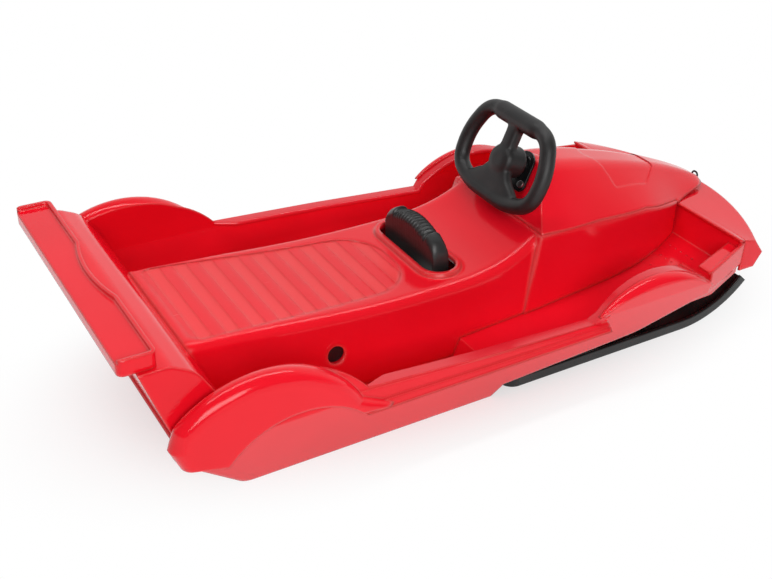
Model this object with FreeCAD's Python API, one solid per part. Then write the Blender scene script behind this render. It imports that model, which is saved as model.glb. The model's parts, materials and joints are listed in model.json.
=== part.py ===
import FreeCAD, Part
import math
import os

# Steering sled. X points forward, Y to the rider's left, Z up.
# The origin is on the ground under the middle of the sled. Lengths are in millimetres.

# Whole sled
WALL = 4.0
SEAT_GAP = 0.3
OVERRUN = 40.0

# Side walls of the tub: half widths at the ground, at the knee and at the top
SKIRT_HALF = 206.0
KNEE_HALF = 250.0
KNEE_Z = 113.0
WALL_TOP_HALF = 230.0
WALL_TOP_Z = 220.0
WALL_REAR_X = -529.0
WALL_FRONT_TOP_Z = 130.0
WALL_FRONT_LOW_Z = 92.0
TAIL_X = -516.0
TAIL_Z = 95.0
TAIL_CORNER_Z = 125.0

# Lower edge of the side walls
SKIRT_REAR_X = -418.0
SKIRT_REAR_ROUND = 30.0
SKIRT_FRONT_X = -34.0
SKIRT_STEP_X = -20.0
SKIRT_STEP_Z = 22.0
SKIRT_RISE_X = 215.0
SKIRT_RISE_Z = 42.0
SKIRT_RISE_ROUND = 120.0
DISC_FRONT_X = 330.0
DISC_FRONT_Z = 84.0

# Rear mudguard: the arch of its inner edge, the arch of its crest and its opening
REAR_ARCH_X = -388.0
REAR_ARCH_Z = 17.0
REAR_ARCH_R = 169.0
REAR_ARCH_START_X = -500.0
REAR_ARCH_END_X = -245.0
REAR_CREST_X = -410.0
REAR_CREST_Z = 36.5
REAR_CREST_R = 159.0
REAR_CREST_START_X = -520.0
REAR_CREST_END_X = -272.0
REAR_TOE_X = -226.0
REAR_TOE_Z = 94.0
REAR_OPENING_X = -362.0
REAR_OPENING_Z = 6.0
REAR_OPENING_R = 125.0
REAR_OPENING_FRONT_X = -277.0
REAR_OPENING_BACK_X = -460.0
REAR_GUARD_HALF = 263.0
REAR_GUARD_ROUND = 16.0
GUARD_SKIN = 9.0
ROUND_STEPS = 3

# Front mudguard: the arch of its inner edge and the arch of its crest
FRONT_ARCH_X = 228.0
FRONT_ARCH_Z = -4.0
FRONT_ARCH_R = 156.0
FRONT_ARCH_END_X = 335.0
FRONT_CREST_X = 216.0
FRONT_CREST_Z = -2.0
FRONT_CREST_R = 155.0
FRONT_GUARD_HALF = 258.0
FRONT_GUARD_ROUND = 12.0

# Flanged wall between the front mudguard and the bumper
NOSE_HALF = 240.0
NOSE_FLANGE_Z = 122.0
NOSE_FLANGE_WIDTH = 25.0

# Stepped rails between the mudguards: heights of the four edges at both ends
RAIL_REAR_X = -262.0
RAIL_FRONT_X = 118.0
RAIL_REAR_LAP = 31.0
RAIL_LAP = 14.0
RAIL_EDGES_REAR = (127.0, 122.0, 102.0, 88.0)
RAIL_EDGES_FRONT = (101.0, 97.0, 93.5, 89.5)
RAIL_HALVES = (242.0, 250.0, 254.5, 258.5)
RAIL_RISER_SLOPE = 1.0
RAIL_FOOT = 7.0
RAIL_FOOT_HALF = 232.0

# Foot wells
FLOOR_Z = 32.0
FLOOR_TAIL_RUN = 77.0
FLOOR_TAIL_Z = 115.0
FLOOR_REAR_X = -434.0
FLOOR_STEP_X = -54.0
FLOOR_STEP_LENGTH = 14.0
FLOOR_FRONT_Z = 56.0
FLOOR_MID_X = 200.0
FLOOR_MID_Z = 70.0
FLOOR_TOE_X = 422.0
FLOOR_TOE_Z = 84.0
FRONT_WALL_X = 428.0
FRONT_WALL_TOP_Z = 133.0
FLOOR_ROUND = 7.0
SEAT_BAY_REAR_X = -416.0
SEAT_BAY_FRONT_X = 24.0
SEAT_BAY_HALF = 122.0
FIN_HALF = 150.0
FIN_WIDTH = 6.0
FIN_REAR_X = -446.0
FIN_FRONT_X = -62.0
FIN_ROUND = 24.0

# Tread bars on the toe end of each foot well
TREAD_COUNT = 5
TREAD_FIRST_X = 258.0
TREAD_PITCH = 26.0
TREAD_WIDTH = 7.0
TREAD_HEIGHT = 2.5
TREAD_INNER_Y = 150.0
TREAD_OUTER_Y = 215.0

# Rear deck with the backrest, from the rear end of the foot wells
BACK_TILT = 10.0
BACK_SEAT_Z = 150.0
BACK_MID_LEAN = 32.0
BACK_MID_Z = 202.0
BACK_LEAN = 62.0
DECK_TOP_Z = 217.0
DECK_DEPTH = 40.0
DECK_SIDE_Z = 104.0
DECK_TOP_HALF = 206.0
DECK_ROUND = 24.0
BACK_ROUND = 40.0

# Seat hump and cowl
HUMP_FOOT_HALF = 134.0
HUMP_TOP_HALF = 105.0
COWL_TOP_HALF = 113.0
HUMP_TOP_Z = 178.0
SEAT_TUCK = 36.0
COWL_PLACES_X = (218.0, 307.0, 356.0)
COWL_FOOT_HALVES = (130.0, 119.0, 102.0)
COWL_CREASE_HALVES = (106.0, 99.0, 90.0)
COWL_FRONT_X = 421.0
COWL_FRONT_HALF = 70.0
COWL_FRONT_TOP_HALF = 66.0
SEAT_ROUND = 15.0
SEAT_REAR_Z = 161.0
SEAT_MID_X = -300.0
SEAT_MID_Z = 149.0
SEAT_FRONT_X = -170.0
SEAT_FRONT_Z = 140.0
SLOT_SEAT_Z = 139.0
CONSOLE_X = 40.0
CONSOLE_Z = 149.0
CREASE_REAR_X = 104.0
FACET_FOOT_X = 78.0
FACET_FOOT_Z = 82.0
CREASE_REAR_Z = 178.0
CREASE_MID_X = 220.0
CREASE_MID_Z = 174.0
CREASE_TURN_X = 326.0
CREASE_TURN_Z = 165.0
CREASE_NOSE_Z = 142.0
BAY_REAR_X = 128.0
BAY_FLANGE = 27.0
BAY_FRONT_HALF = 34.0

# Recessed seat panel with its cross bands
PANEL_REAR_X = -436.0
PANEL_FRONT_X = -86.0
PANEL_REAR_HALF = 100.0
PANEL_FRONT_HALF = 80.0
PANEL_ROUND = 70.0
PANEL_REAR_ROUND = 17.5
PANEL_DEPTH = 1.2
BAND_COUNT = 9
BAND_START_SHARE = 0.25
BAND_DEPTH = 0.6

# Brake slot in the seat
SLOT_REAR_X = -66.0
SLOT_FRONT_X = -12.0
SLOT_HALF = 84.0
SLOT_RIM = 7.0
SLOT_RIM_Z = 146.0

# Brake
PIVOT_X = -241.0
PIVOT_Z = 88.0
PIVOT_BORE_R = 13.0
AXLE_R = 7.0
AXLE_FIT = 0.1
PIVOT_BOSS_WALL = 4.0
PIVOT_BOSS_LENGTH = 16.0
CAP_DEPTH = 20.0
CAP_RECESS = 4.0
SLEEVE_WALL = 6.0
SLEEVE_HALF = 66.0
HANDLE_REAR_X = -50.0
HANDLE_THICK = 28.0
HANDLE_LEAN = 7.0
HANDLE_HALF = 70.0
HANDLE_BASE_Z = 60.0
HANDLE_SHOULDER_Z = 170.0
HANDLE_TOP_Z = 200.0
HANDLE_ROUND = 5.0
HANDLE_CORNER = 14.0
GRIP_RIBS = 12
GRIP_GROOVE_R = 2.2
GRIP_SPAN_HALF = 44.0
ARM_OUTER = 62.0
ARM_WIDTH = 12.0
ARM_DEPTH = 18.0
CLAW_X = -338.0
CLAW_THICK = 3.0
CLAW_TOP_Z = 70.0
CLAW_TIP_Z = 5.0
CLAW_TOOTH = 16.0
CLAW_TEETH = 6
CLAW_FOOT = 26.0
RIVET_R = 3.0
RIVET_HEAD_R = 5.5
RIVET_HEAD = 2.2

# Hood
HOOD_STATIONS_X = (92.0, 150.0, 212.0, 290.0, 347.0, 430.0, 488.0, 516.0)
HOOD_HALVES = (113.0, 110.5, 106.5, 101.0, 92.0, 65.0, 49.0, 41.0)
HOOD_TOPS_Z = (247.0, 249.0, 243.0, 226.0, 211.0, 183.0, 158.0, 143.0)
HOOD_FLATS = (32.0, 32.0, 32.0, 30.0, 27.0, 20.0, 14.0, 11.0)
HOOD_FOOT_DROP = 20.0
HOOD_ROUND_SHARE = 1.2
DASH_FOOT_X = 108.0
DASH_TOP_X = 158.0
DASH_TOP_Z = 250.0
HATCH_POINT_X = 262.0
HATCH_REAR_X = 282.0
HATCH_SIDE_X = 354.0
HATCH_FRONT_X = 394.0
HATCH_REAR_HALF = 66.0
HATCH_SIDE_HALF = 57.0
HATCH_FRONT_HALF = 24.0
HATCH_ROUND = 16.0
HATCH_DEPTH = 1.5
BOSS_R = 6.0
BOSS_HEIGHT = 24.0
BOSS_INSET = 20.0
BOSS_PLACES_X = (170.0, 300.0)
SCREW_R = 2.0
SCREW_HEAD_R = 4.5
SCREW_HEAD = 3.0
SCREW_GRIP = 14.0
SCREW_CLEARANCE = 0.25

# Bumper
BUMPER_HALF = 206.0
BUMPER_REAR_X = 424.5
BUMPER_LAP = 11.5
BUMPER_TOP_Z = 137.0
BUMPER_TIP_X = 566.0
BUMPER_TIP_Z = 66.0
BUMPER_BROW_X = 530.0
BUMPER_BROW_Z = 128.0
BUMPER_KEEL_X = 538.0
BUMPER_KEEL_Z = 60.0
END_BROW_X = 460.0
END_BROW_Z = 126.0
END_TIP_X = 480.0
END_TIP_Z = 102.0
END_KEEL_X = 466.0
END_KEEL_Z = 79.0
BUMPER_FRONT_SHARE = 1.5
BUMPER_STATION_SHARES = (-1.0, -0.55, 0.0, 0.55, 1.0)

# Spoiler tray
TRAY_OVERHANG = 20.0
TRAY_DEPTH = 48.0
TRAY_HALF = 209.0
TRAY_HEIGHT = 22.0
TRAY_LIP = 6.0
TRAY_RIM = 5.0
TRAY_ROUND = 9.0
SCOOP_HALF = 75.0
SCOOP_DEPTH = 11.0
TRAY_SCREW_PLACES = (-150.0, -60.0, 60.0, 150.0)
TRAY_SCREW_GAP = 6.0

# Steering column: the wheel stands across it, and it slopes down towards the nose
COLUMN_X = 107.6
COLUMN_Z = 255.1
COLUMN_DIP_DEG = 22.5
SHAFT_R = 6.0
SHAFT_LENGTH = 140.0
CRANK_LENGTH = 45.0
CRANK_PIN = 34.0
CRANK_BEND = 11.0
HUB_R = 25.0
HUB_FRONT = 27.0
HUB_BACK = -13.0
HUB_BORE_FIT = 0.05
HUB_FACE = 6.0
RIM_R = 12.5
RIM_HALVES = (72.0, 96.5, 92.0, 45.0)
RIM_UPS = (64.5, 12.0, -38.0, -56.0)
RIM_ROUNDS = (26.0, 60.0, 30.0, 40.0)
SPOKE_HALF_TOP = 15.0
SPOKE_HALF_FOOT = 20.0
SPOKE_THICK = 18.0
BAR_TOP = -31.0
BAR_TOP_HALF = 66.0
BAR_BOTTOM = -63.0
BAR_BOTTOM_HALF = 50.0
BAR_THICK = 22.0
WHEEL_ROUND = 6.0
BUSH_R = 15.0
BUSH_FLANGE_R = 21.0
BUSH_FLANGE = 4.0
BUSH_LENGTH = 20.0
BUSH_FIT = 0.08
ARCH_LENGTH = 34.0
BUSH_PLATE_HALF = 30.0
BUSH_PLATE_DROP = 40.0
BUSH_BOLT_Y = 21.0
BUSH_BOLT_DROP = 28.0
BUSH_PLATE_ROUND = 10.0
BRACKET_AT = 104.0
BRACKET_THICK = 8.0
BRACKET_HALF = 21.0
BRACKET_FOOT = 46.0
BRACKET_BOLT_BACK = 15.0
BRACKET_BOLT_Y = 12.6
BRACKET_FOOT_THICK = 6.0
COLLAR_R = 11.0
COLLAR_WIDTH = 7.0

# Ski with its kingpin and steering lever
SKI_REAR_X = -6.0
SKI_FRONT_X = 456.0
SKI_HALF = 205.0
SKI_BEND_X = 330.0
SKI_TIP_Z = 56.0
SKI_FLOOR = 4.0
SKI_RIM = 5.0
SKI_RIM_HEIGHT = 15.0
SKI_TAIL_ROUND = 22.0
SKI_RIB = 4.0
SKI_RIB_HEIGHT = 9.0
SKI_RIB_PLACES = (60.0, 130.0, 200.0, 270.0)
SKI_STRINGER_HALF = 70.0
KINGPIN_R = 8.0
KINGPIN_FIT = 0.08
KINGPIN_HEAD_R = 13.0
KINGPIN_HEAD = 7.0
SKI_HUB_R = 24.0
FLOOR_PAD_R = 34.0
FLOOR_PAD_Z = 66.0
PAD_TOP_Z = 86.0
KING_BUSH_R = 12.0
KING_BUSH_FLANGE_R = 20.0
KING_BUSH_FLANGE = 3.0
RUN_GAP = 0.3
LEVER_LENGTH = 90.0
LEVER_R = 17.0
LEVER_THICK = 14.0
LEVER_HALF = 9.0
FORK_GAP = 9.5
FORK_WALL = 5.0
FORK_DEPTH = 8.0
FORK_UP = 18.0
NUT_R = 12.0
NUT_HEIGHT = 9.0
NUT_FLATS = 6
WASHER_R = 15.0
WASHER = 2.0

# Bracket bolts and the tow eye
BOLT_R = 3.0
BOLT_HEAD_R = 5.5
BOLT_HEAD = 4.0
BOLT_GRIP = 12.0
TOW_X = 523.0
TOW_WIRE_R = 1.6
TOW_HALF = 6.0
TOW_BEND = 5.4
TOW_TOP_Z = 144.0
TOW_LEG = 16.0
TOW_NUT_R = 4.0
TOW_NUT = 3.0
TOW_NUT_GAP = 2.0

# Places that follow from the sizes above
FLOOR_TAIL_X = FLOOR_REAR_X - FLOOR_TAIL_RUN
BACK_FOOT_X = FLOOR_REAR_X
BACK_SEAT_X = BACK_FOOT_X - BACK_TILT
BACK_MID_X = BACK_SEAT_X - BACK_MID_LEAN
BACK_TOP_X = BACK_SEAT_X - BACK_LEAN
DECK_REAR_X = BACK_TOP_X - DECK_DEPTH
HUMP_REAR_X = BACK_FOOT_X - SEAT_TUCK
WALL_FRONT_X = BUMPER_REAR_X + BUMPER_LAP - SEAT_GAP
V = FreeCAD.Vector
# The column's own frame: x to the left, y up along the wheel and z down the column
DIP = math.radians(COLUMN_DIP_DEG)
COLUMN_FRAME = FreeCAD.Matrix(
    0, math.sin(DIP), math.cos(DIP), COLUMN_X,
    1, 0, 0, 0,
    0, math.cos(DIP), -math.sin(DIP), COLUMN_Z,
    0, 0, 0, 1,
)
CRANK_PIN_ALONG = SHAFT_LENGTH + (CRANK_PIN + CRANK_BEND) / 2
CRANK_PIN_MIDDLE = COLUMN_FRAME.multVec(V(0, -CRANK_LENGTH, CRANK_PIN_ALONG))
KINGPIN_X = CRANK_PIN_MIDDLE.x + LEVER_LENGTH
UP = V(0, 0, 1)
LEFT = V(0, 1, 0)
FORWARD = V(1, 0, 0)
REACH = BUMPER_TIP_X - DECK_REAR_X
TRAY_REAR_X = DECK_REAR_X - TRAY_OVERHANG
EPSILON_SHARE = 1e-6
CM3_PER_MM3_SHARE = 0.001


def share_between(low, high, share):
    return low + (high - low) * share


def on_circle(centre_x, centre_z, radius, x):
    """Point of a circle's upper half at x, as an (x, z) pair."""
    return x, centre_z + math.sqrt(radius ** 2 - (x - centre_x) ** 2)


def rounded_wire(points, radii):
    """Closed flat wire through the points, with each corner rounded by its own radius."""
    ends = []
    for index, corner in enumerate(points):
        radius = radii[index]
        to_last = (points[index - 1] - corner).normalize()
        to_next = (points[(index + 1) % len(points)] - corner).normalize()
        if radius == 0:
            ends.append((corner, None, corner))
            continue
        half = to_last.getAngle(to_next) / 2
        setback = radius / math.tan(half)
        middle_way = (to_last + to_next).normalize()
        middle = corner + middle_way * (radius / math.sin(half) - radius)
        ends.append((corner + to_last * setback, middle, corner + to_next * setback))
    edges = []
    for index, (start, middle, end) in enumerate(ends):
        if middle is not None:
            edges.append(Part.Arc(start, middle, end).toShape())
        following = ends[(index + 1) % len(ends)][0]
        if (following - end).Length > WALL * EPSILON_SHARE:
            edges.append(Part.LineSegment(end, following).toShape())
    return Part.Wire(edges)


def corners(points, radius):
    """A radius for every corner of an outline, from one number or one number each."""
    if isinstance(radius, (int, float)):
        return [radius] * len(points)
    return list(radius)


def prism_y(outline, low, high, radius=0):
    """Solid with an (x, z) outline from y = low to y = high."""
    points = [V(x, low, z) for x, z in outline]
    face = Part.Face(rounded_wire(points, corners(points, radius)))
    return face.extrude(LEFT * (high - low))


def prism_x(outline, low, high, radius=0):
    """Solid with a (y, z) outline from x = low to x = high."""
    points = [V(low, y, z) for y, z in outline]
    face = Part.Face(rounded_wire(points, corners(points, radius)))
    return face.extrude(FORWARD * (high - low))


def prism_z(outline, low, high, radius=0):
    """Solid with an (x, y) outline from z = low to z = high."""
    points = [V(x, y, low) for x, y in outline]
    face = Part.Face(rounded_wire(points, corners(points, radius)))
    return face.extrude(UP * (high - low))


def step_wire(steps, y):
    """Closed wire at y. A step is an (x, z) end, or a via point with an end for an arc."""
    edges = []
    place = steps[-1][-1] if isinstance(steps[-1][0], tuple) else steps[-1]
    for step in steps:
        start = V(place[0], y, place[1])
        if isinstance(step[0], tuple):
            via, place = step
            edges.append(Part.Arc(start, V(via[0], y, via[1]), V(place[0], y, place[1])).toShape())
        else:
            place = step
            edges.append(Part.LineSegment(start, V(place[0], y, place[1])).toShape())
    return Part.Wire(edges)


def curve_prism_y(steps, low, high):
    """Solid from y = low to y = high with an outline of lines and arcs."""
    return Part.Face(step_wire(steps, low)).extrude(LEFT * (high - low))


def on_line(points, x):
    """Second value at x on a line through points that run from rear to front."""
    for (x0, z0), (x1, z1) in zip(points, points[1:]):
        if x0 <= x <= x1:
            return share_between(z0, z1, (x - x0) / (x1 - x0))
    raise ValueError("no line there")


def round_steps(half, radius):
    """Places across a rounded edge, as half widths with the drop below its crest."""
    places = []
    for index in range(ROUND_STEPS + 1):
        angle = math.pi * index / (ROUND_STEPS + ROUND_STEPS)
        places.append((half - radius * (1 - math.sin(angle)), radius * (1 - math.cos(angle))))
    return places


def mirrored(outline):
    """Outline of both sides from the left half, whose first value is the half width."""
    return list(outline) + [(-half, other) for half, other in reversed(outline)]


def mirrored_plan(outline):
    """Plan of both sides from the left half, given as (x, half width) pairs."""
    return list(outline) + [(x, -half) for x, half in reversed(outline)]


def strip(points, thickness):
    """Closed outline of a sheet whose upper side follows the points from rear to front."""
    lower = []
    for index, (x, z) in enumerate(points):
        before = points[max(index - 1, 0)]
        after = points[min(index + 1, len(points) - 1)]
        normals = []
        for start, end in ((before, (x, z)), ((x, z), after)):
            run = math.hypot(end[0] - start[0], end[1] - start[1])
            if run > 0:
                normals.append(((end[1] - start[1]) / run, -(end[0] - start[0]) / run))
        nx = sum(normal[0] for normal in normals) / len(normals)
        nz = sum(normal[1] for normal in normals) / len(normals)
        square = nx * nx + nz * nz
        lower.append((x + nx * thickness / square, z + nz * thickness / square))
    return list(points) + lower[::-1]


def both_sides(solid):
    """A solid of the left side with its mirror image."""
    return solid, solid.mirror(V(0, 0, 0), LEFT)


def cylinder(radius, height, base, axis=UP):
    return Part.makeCylinder(radius, height, base, axis)


def bent_rod(points, bend, radius):
    """Round rod along straight runs joined by arcs."""
    edges = []
    place = points[0]
    for before, corner, after in zip(points, points[1:], points[2:]):
        to_last = (before - corner).normalize()
        to_next = (after - corner).normalize()
        half = to_last.getAngle(to_next) / 2
        setback = bend / math.tan(half)
        middle = corner + (to_last + to_next).normalize() * (bend / math.sin(half) - bend)
        start = corner + to_last * setback
        edges.append(Part.LineSegment(place, start).toShape())
        place = corner + to_next * setback
        edges.append(Part.Arc(start, middle, place).toShape())
    edges.append(Part.LineSegment(place, points[-1]).toShape())
    section = Part.Wire(Part.makeCircle(radius, points[0], points[1] - points[0]))
    return Part.Wire(edges).makePipeShell([section], True, False)


# Tub: side walls, mudguards, rails, floor and fins

def wall_half(z, inset=0.0):
    """Half width of the side wall's outside at a height, less an inset."""
    if z <= KNEE_Z:
        half = share_between(SKIRT_HALF, KNEE_HALF, z / KNEE_Z)
    else:
        half = share_between(KNEE_HALF, WALL_TOP_HALF, (z - KNEE_Z) / (WALL_TOP_Z - KNEE_Z))
    return half - inset


def between_walls(inset):
    """Block that fills the space between the side walls' outsides, less an inset."""
    heights = (-OVERRUN, 0, KNEE_Z, WALL_TOP_Z + OVERRUN)
    outline = [(wall_half(z, inset), z) for z in heights]
    return prism_x(mirrored(outline), -REACH, REACH)


def rear_arch(x, inset=0.0):
    return on_circle(REAR_ARCH_X, REAR_ARCH_Z, REAR_ARCH_R - inset, x)


def front_arch(x, inset=0.0):
    return on_circle(FRONT_ARCH_X, FRONT_ARCH_Z, FRONT_ARCH_R - inset, x)


def nose_plan(inset):
    """Plan between the tapered walls of the nose, less an inset, as a tall block."""
    plan = [
        (-REACH, KNEE_HALF + OVERRUN),
        (FRONT_ARCH_END_X, KNEE_HALF + OVERRUN),
        (FRONT_ARCH_END_X, NOSE_HALF - inset),
        (WALL_FRONT_X, BUMPER_HALF - inset),
        (REACH, BUMPER_HALF - inset),
    ]
    return prism_z(mirrored_plan(plan), -OVERRUN, WALL_TOP_Z)


def nose_sheet():
    """Side wall from the front mudguard to the bumper, with the mudguard's closed end."""
    plan = [
        (FRONT_ARCH_END_X - WALL, KNEE_HALF),
        (FRONT_ARCH_END_X, KNEE_HALF),
        (FRONT_ARCH_END_X, NOSE_HALF),
        (WALL_FRONT_X, BUMPER_HALF),
        (WALL_FRONT_X, BUMPER_HALF - WALL),
        (FRONT_ARCH_END_X - WALL, NOSE_HALF - WALL),
    ]
    return prism_z(plan, 0, WALL_TOP_Z).common(between_walls(0))


def nose_flange():
    """Flat ledge along the inside of the nose wall."""
    end_x = BUMPER_REAR_X - SEAT_GAP
    end_half = on_line([(FRONT_ARCH_END_X, NOSE_HALF), (WALL_FRONT_X, BUMPER_HALF)], end_x) - WALL / 2
    plan = [
        (FRONT_ARCH_END_X - WALL, NOSE_HALF - WALL / 2),
        (FRONT_ARCH_END_X, NOSE_HALF - WALL / 2),
        (end_x, end_half),
        (end_x, end_half - NOSE_FLANGE_WIDTH),
        (FRONT_ARCH_END_X - WALL, NOSE_HALF - NOSE_FLANGE_WIDTH),
    ]
    return prism_z(plan, NOSE_FLANGE_Z - WALL, NOSE_FLANGE_Z)


def side_wall():
    section = [(wall_half(z), z) for z in (0, KNEE_Z, WALL_TOP_Z)]
    section += [(wall_half(z, WALL), z) for z in (WALL_TOP_Z, KNEE_Z, 0)]
    sheet = prism_x(section, -REACH, FRONT_ARCH_END_X).fuse(nose_sheet())
    lower = [
        (WALL_FRONT_X, WALL_FRONT_LOW_Z),
        (DISC_FRONT_X, DISC_FRONT_Z),
        (SKIRT_RISE_X, SKIRT_RISE_Z),
        (SKIRT_STEP_X, SKIRT_STEP_Z),
        (SKIRT_FRONT_X, 0),
        (SKIRT_REAR_X, 0),
        (TAIL_X, TAIL_Z),
    ]
    rounds = [0, SKIRT_RISE_ROUND, SKIRT_RISE_ROUND, 0, 0, SKIRT_REAR_ROUND, 0]
    above = [(WALL_REAR_X, WALL_TOP_Z), (WALL_FRONT_X, WALL_TOP_Z)]
    rear = [(WALL_REAR_X, TAIL_CORNER_Z)]
    side = prism_y(lower + rear + above, SKIRT_HALF - KNEE_Z, KNEE_HALF + OVERRUN, rounds + [0, 0, 0])
    top = curve_prism_y(
        [
            (WALL_REAR_X, 0),
            (WALL_REAR_X, TAIL_CORNER_Z),
            rear_arch(REAR_ARCH_START_X, WALL),
            (rear_arch(REAR_ARCH_X, WALL), rear_arch(RAIL_REAR_X, WALL)),
            front_arch(RAIL_FRONT_X, WALL),
            (front_arch(FRONT_ARCH_X, WALL), front_arch(FRONT_ARCH_END_X, WALL)),
            (FRONT_ARCH_END_X, NOSE_FLANGE_Z),
            (WALL_FRONT_X, WALL_FRONT_TOP_Z),
            (WALL_FRONT_X, 0),
        ],
        SKIRT_HALF - KNEE_Z,
        KNEE_HALF + OVERRUN,
    )
    return sheet.common(side).common(top)


def rear_guard_steps(arch, start_x, end_x, drop):
    """Outline of the rear mudguard under one of its arches, drawn in by the drop."""
    def opening(x):
        return on_circle(REAR_OPENING_X, REAR_OPENING_Z, REAR_OPENING_R, x)
    centre_x, centre_z, radius = arch
    lowered = (centre_x, centre_z, radius - drop)
    return [
        (TAIL_X + drop, TAIL_Z),
        (WALL_REAR_X + drop, TAIL_CORNER_Z),
        on_circle(*lowered, start_x + drop),
        (on_circle(*lowered, centre_x), on_circle(*lowered, end_x - drop)),
        (REAR_TOE_X - drop, REAR_TOE_Z),
        opening(REAR_OPENING_FRONT_X),
        (opening(REAR_OPENING_X), opening(REAR_OPENING_BACK_X)),
    ]


def hollow_steps(arch, start_x, end_x):
    """Space under one of the rear mudguard's arches, open at the bottom."""
    centre_x, centre_z, radius = arch
    lowered = (centre_x, centre_z, radius - GUARD_SKIN)
    start = on_circle(*lowered, start_x + GUARD_SKIN)
    end = on_circle(*lowered, end_x - GUARD_SKIN)
    return [(start[0], 0), start, (on_circle(*lowered, centre_x), end), (end[0], 0)]


def rear_mudguard():
    """Guard that swells from the wall's edge to a crest and rounds off to its outer face."""
    inner = ((REAR_ARCH_X, REAR_ARCH_Z, REAR_ARCH_R), REAR_ARCH_START_X, REAR_ARCH_END_X)
    crest = ((REAR_CREST_X, REAR_CREST_Z, REAR_CREST_R), REAR_CREST_START_X, REAR_CREST_END_X)
    inner_y = WALL_TOP_HALF - WALL
    wires = [step_wire(rear_guard_steps(*inner, 0), inner_y)]
    for y, drop in round_steps(REAR_GUARD_HALF, REAR_GUARD_ROUND):
        wires.append(step_wire(rear_guard_steps(*crest, drop), y))
    solid = Part.makeLoft(wires, True, False)
    hollow = curve_prism_y(hollow_steps(*inner), inner_y, REAR_GUARD_HALF - WALL)
    hollow = hollow.common(curve_prism_y(hollow_steps(*crest), inner_y, REAR_GUARD_HALF - WALL))
    return solid.cut(hollow).cut(between_walls(WALL))


def front_guard_steps(arch, drop):
    """Outline of the front mudguard: the part of an arch above the wall's knee."""
    centre_x, centre_z, radius = arch
    reach = math.sqrt((radius - drop) ** 2 - (KNEE_Z - centre_z) ** 2)
    top = (centre_x, centre_z + radius - drop)
    return [(centre_x - reach, KNEE_Z), (top, (centre_x + reach, KNEE_Z))]


def front_mudguard():
    """Flared rim of the front arch, whose outer face leans in to the wall's knee."""
    inner = (FRONT_ARCH_X, FRONT_ARCH_Z, FRONT_ARCH_R)
    crest = (FRONT_CREST_X, FRONT_CREST_Z, FRONT_CREST_R)
    wires = [step_wire(front_guard_steps(inner, 0), WALL_TOP_HALF - WALL)]
    for y, drop in round_steps(FRONT_GUARD_HALF, FRONT_GUARD_ROUND):
        wires.append(step_wire(front_guard_steps(crest, drop), y))
    solid = Part.makeLoft(wires, True, False)
    face_top = FRONT_CREST_Z + FRONT_CREST_R - FRONT_GUARD_ROUND
    outside = [
        (KNEE_HALF, KNEE_Z - OVERRUN),
        (KNEE_HALF, KNEE_Z),
        (FRONT_GUARD_HALF, face_top),
        (FRONT_GUARD_HALF + OVERRUN, face_top),
        (FRONT_GUARD_HALF + OVERRUN, KNEE_Z - OVERRUN),
    ]
    return solid.cut(prism_x(outside, 0, REACH)).cut(between_walls(WALL))


def rail():
    def section(x, edges):
        first, second, third, fourth = edges
        inner, upper, middle, outer = RAIL_HALVES
        outline = [
            (inner, first),
            (upper, second),
            (upper + RAIL_RISER_SLOPE, third + RAIL_RISER_SLOPE),
            (middle, third),
            (middle + RAIL_RISER_SLOPE, fourth + RAIL_RISER_SLOPE),
            (outer, fourth),
            (upper - RAIL_RISER_SLOPE, fourth - RAIL_FOOT),
            (RAIL_FOOT_HALF, fourth - RAIL_FOOT),
        ]
        return Part.makePolygon([V(x, y, z) for y, z in outline + outline[:1]])
    rear = section(RAIL_REAR_X - RAIL_REAR_LAP, RAIL_EDGES_REAR)
    front = section(RAIL_FRONT_X + RAIL_LAP, RAIL_EDGES_FRONT)
    opening = V(REAR_OPENING_X, 0, REAR_OPENING_Z)
    loft = Part.makeLoft([rear, front], True, True).cut(between_walls(WALL / 2))
    return loft.cut(cylinder(REAR_OPENING_R, KNEE_HALF + OVERRUN, opening, LEFT))


FLOOR_LINE = [
    (FLOOR_TAIL_X, FLOOR_TAIL_Z),
    (FLOOR_REAR_X, FLOOR_Z),
    (FLOOR_STEP_X, FLOOR_Z),
    (FLOOR_STEP_X + FLOOR_STEP_LENGTH, FLOOR_FRONT_Z),
    (FLOOR_MID_X, FLOOR_MID_Z),
    (FLOOR_TOE_X, FLOOR_TOE_Z),
    (FRONT_WALL_X, FRONT_WALL_TOP_Z),
]


def floor_height(x):
    """Height of the floor's upper side at x."""
    return on_line(FLOOR_LINE, x)


def below_floor():
    """Everything under the floor's upper side, to trim what stands on it."""
    low = -OVERRUN
    outline = [(-REACH, low), (-REACH, FLOOR_TAIL_Z)] + FLOOR_LINE
    outline += [(REACH, FRONT_WALL_TOP_Z), (REACH, low)]
    return prism_y(outline, -KNEE_HALF - OVERRUN, KNEE_HALF + OVERRUN)


def floor_sheet():
    sheet = prism_y(strip(FLOOR_LINE, WALL), -KNEE_HALF, KNEE_HALF)
    sheet = sheet.common(between_walls(WALL / 2)).common(nose_plan(WALL / 2))
    bay = [(SEAT_BAY_REAR_X, SEAT_BAY_HALF), (SEAT_BAY_FRONT_X, SEAT_BAY_HALF)]
    return sheet.cut(prism_z(mirrored_plan(bay), 0, PAD_TOP_Z, FLOOR_ROUND))


def fin():
    outline = [
        (FIN_REAR_X, FLOOR_Z - WALL / 2),
        (FIN_REAR_X + FIN_ROUND, 0),
        (FIN_FRONT_X, 0),
        (FIN_FRONT_X, FLOOR_Z - WALL / 2),
    ]
    return prism_y(outline, FIN_HALF - FIN_WIDTH / 2, FIN_HALF + FIN_WIDTH / 2)


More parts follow.
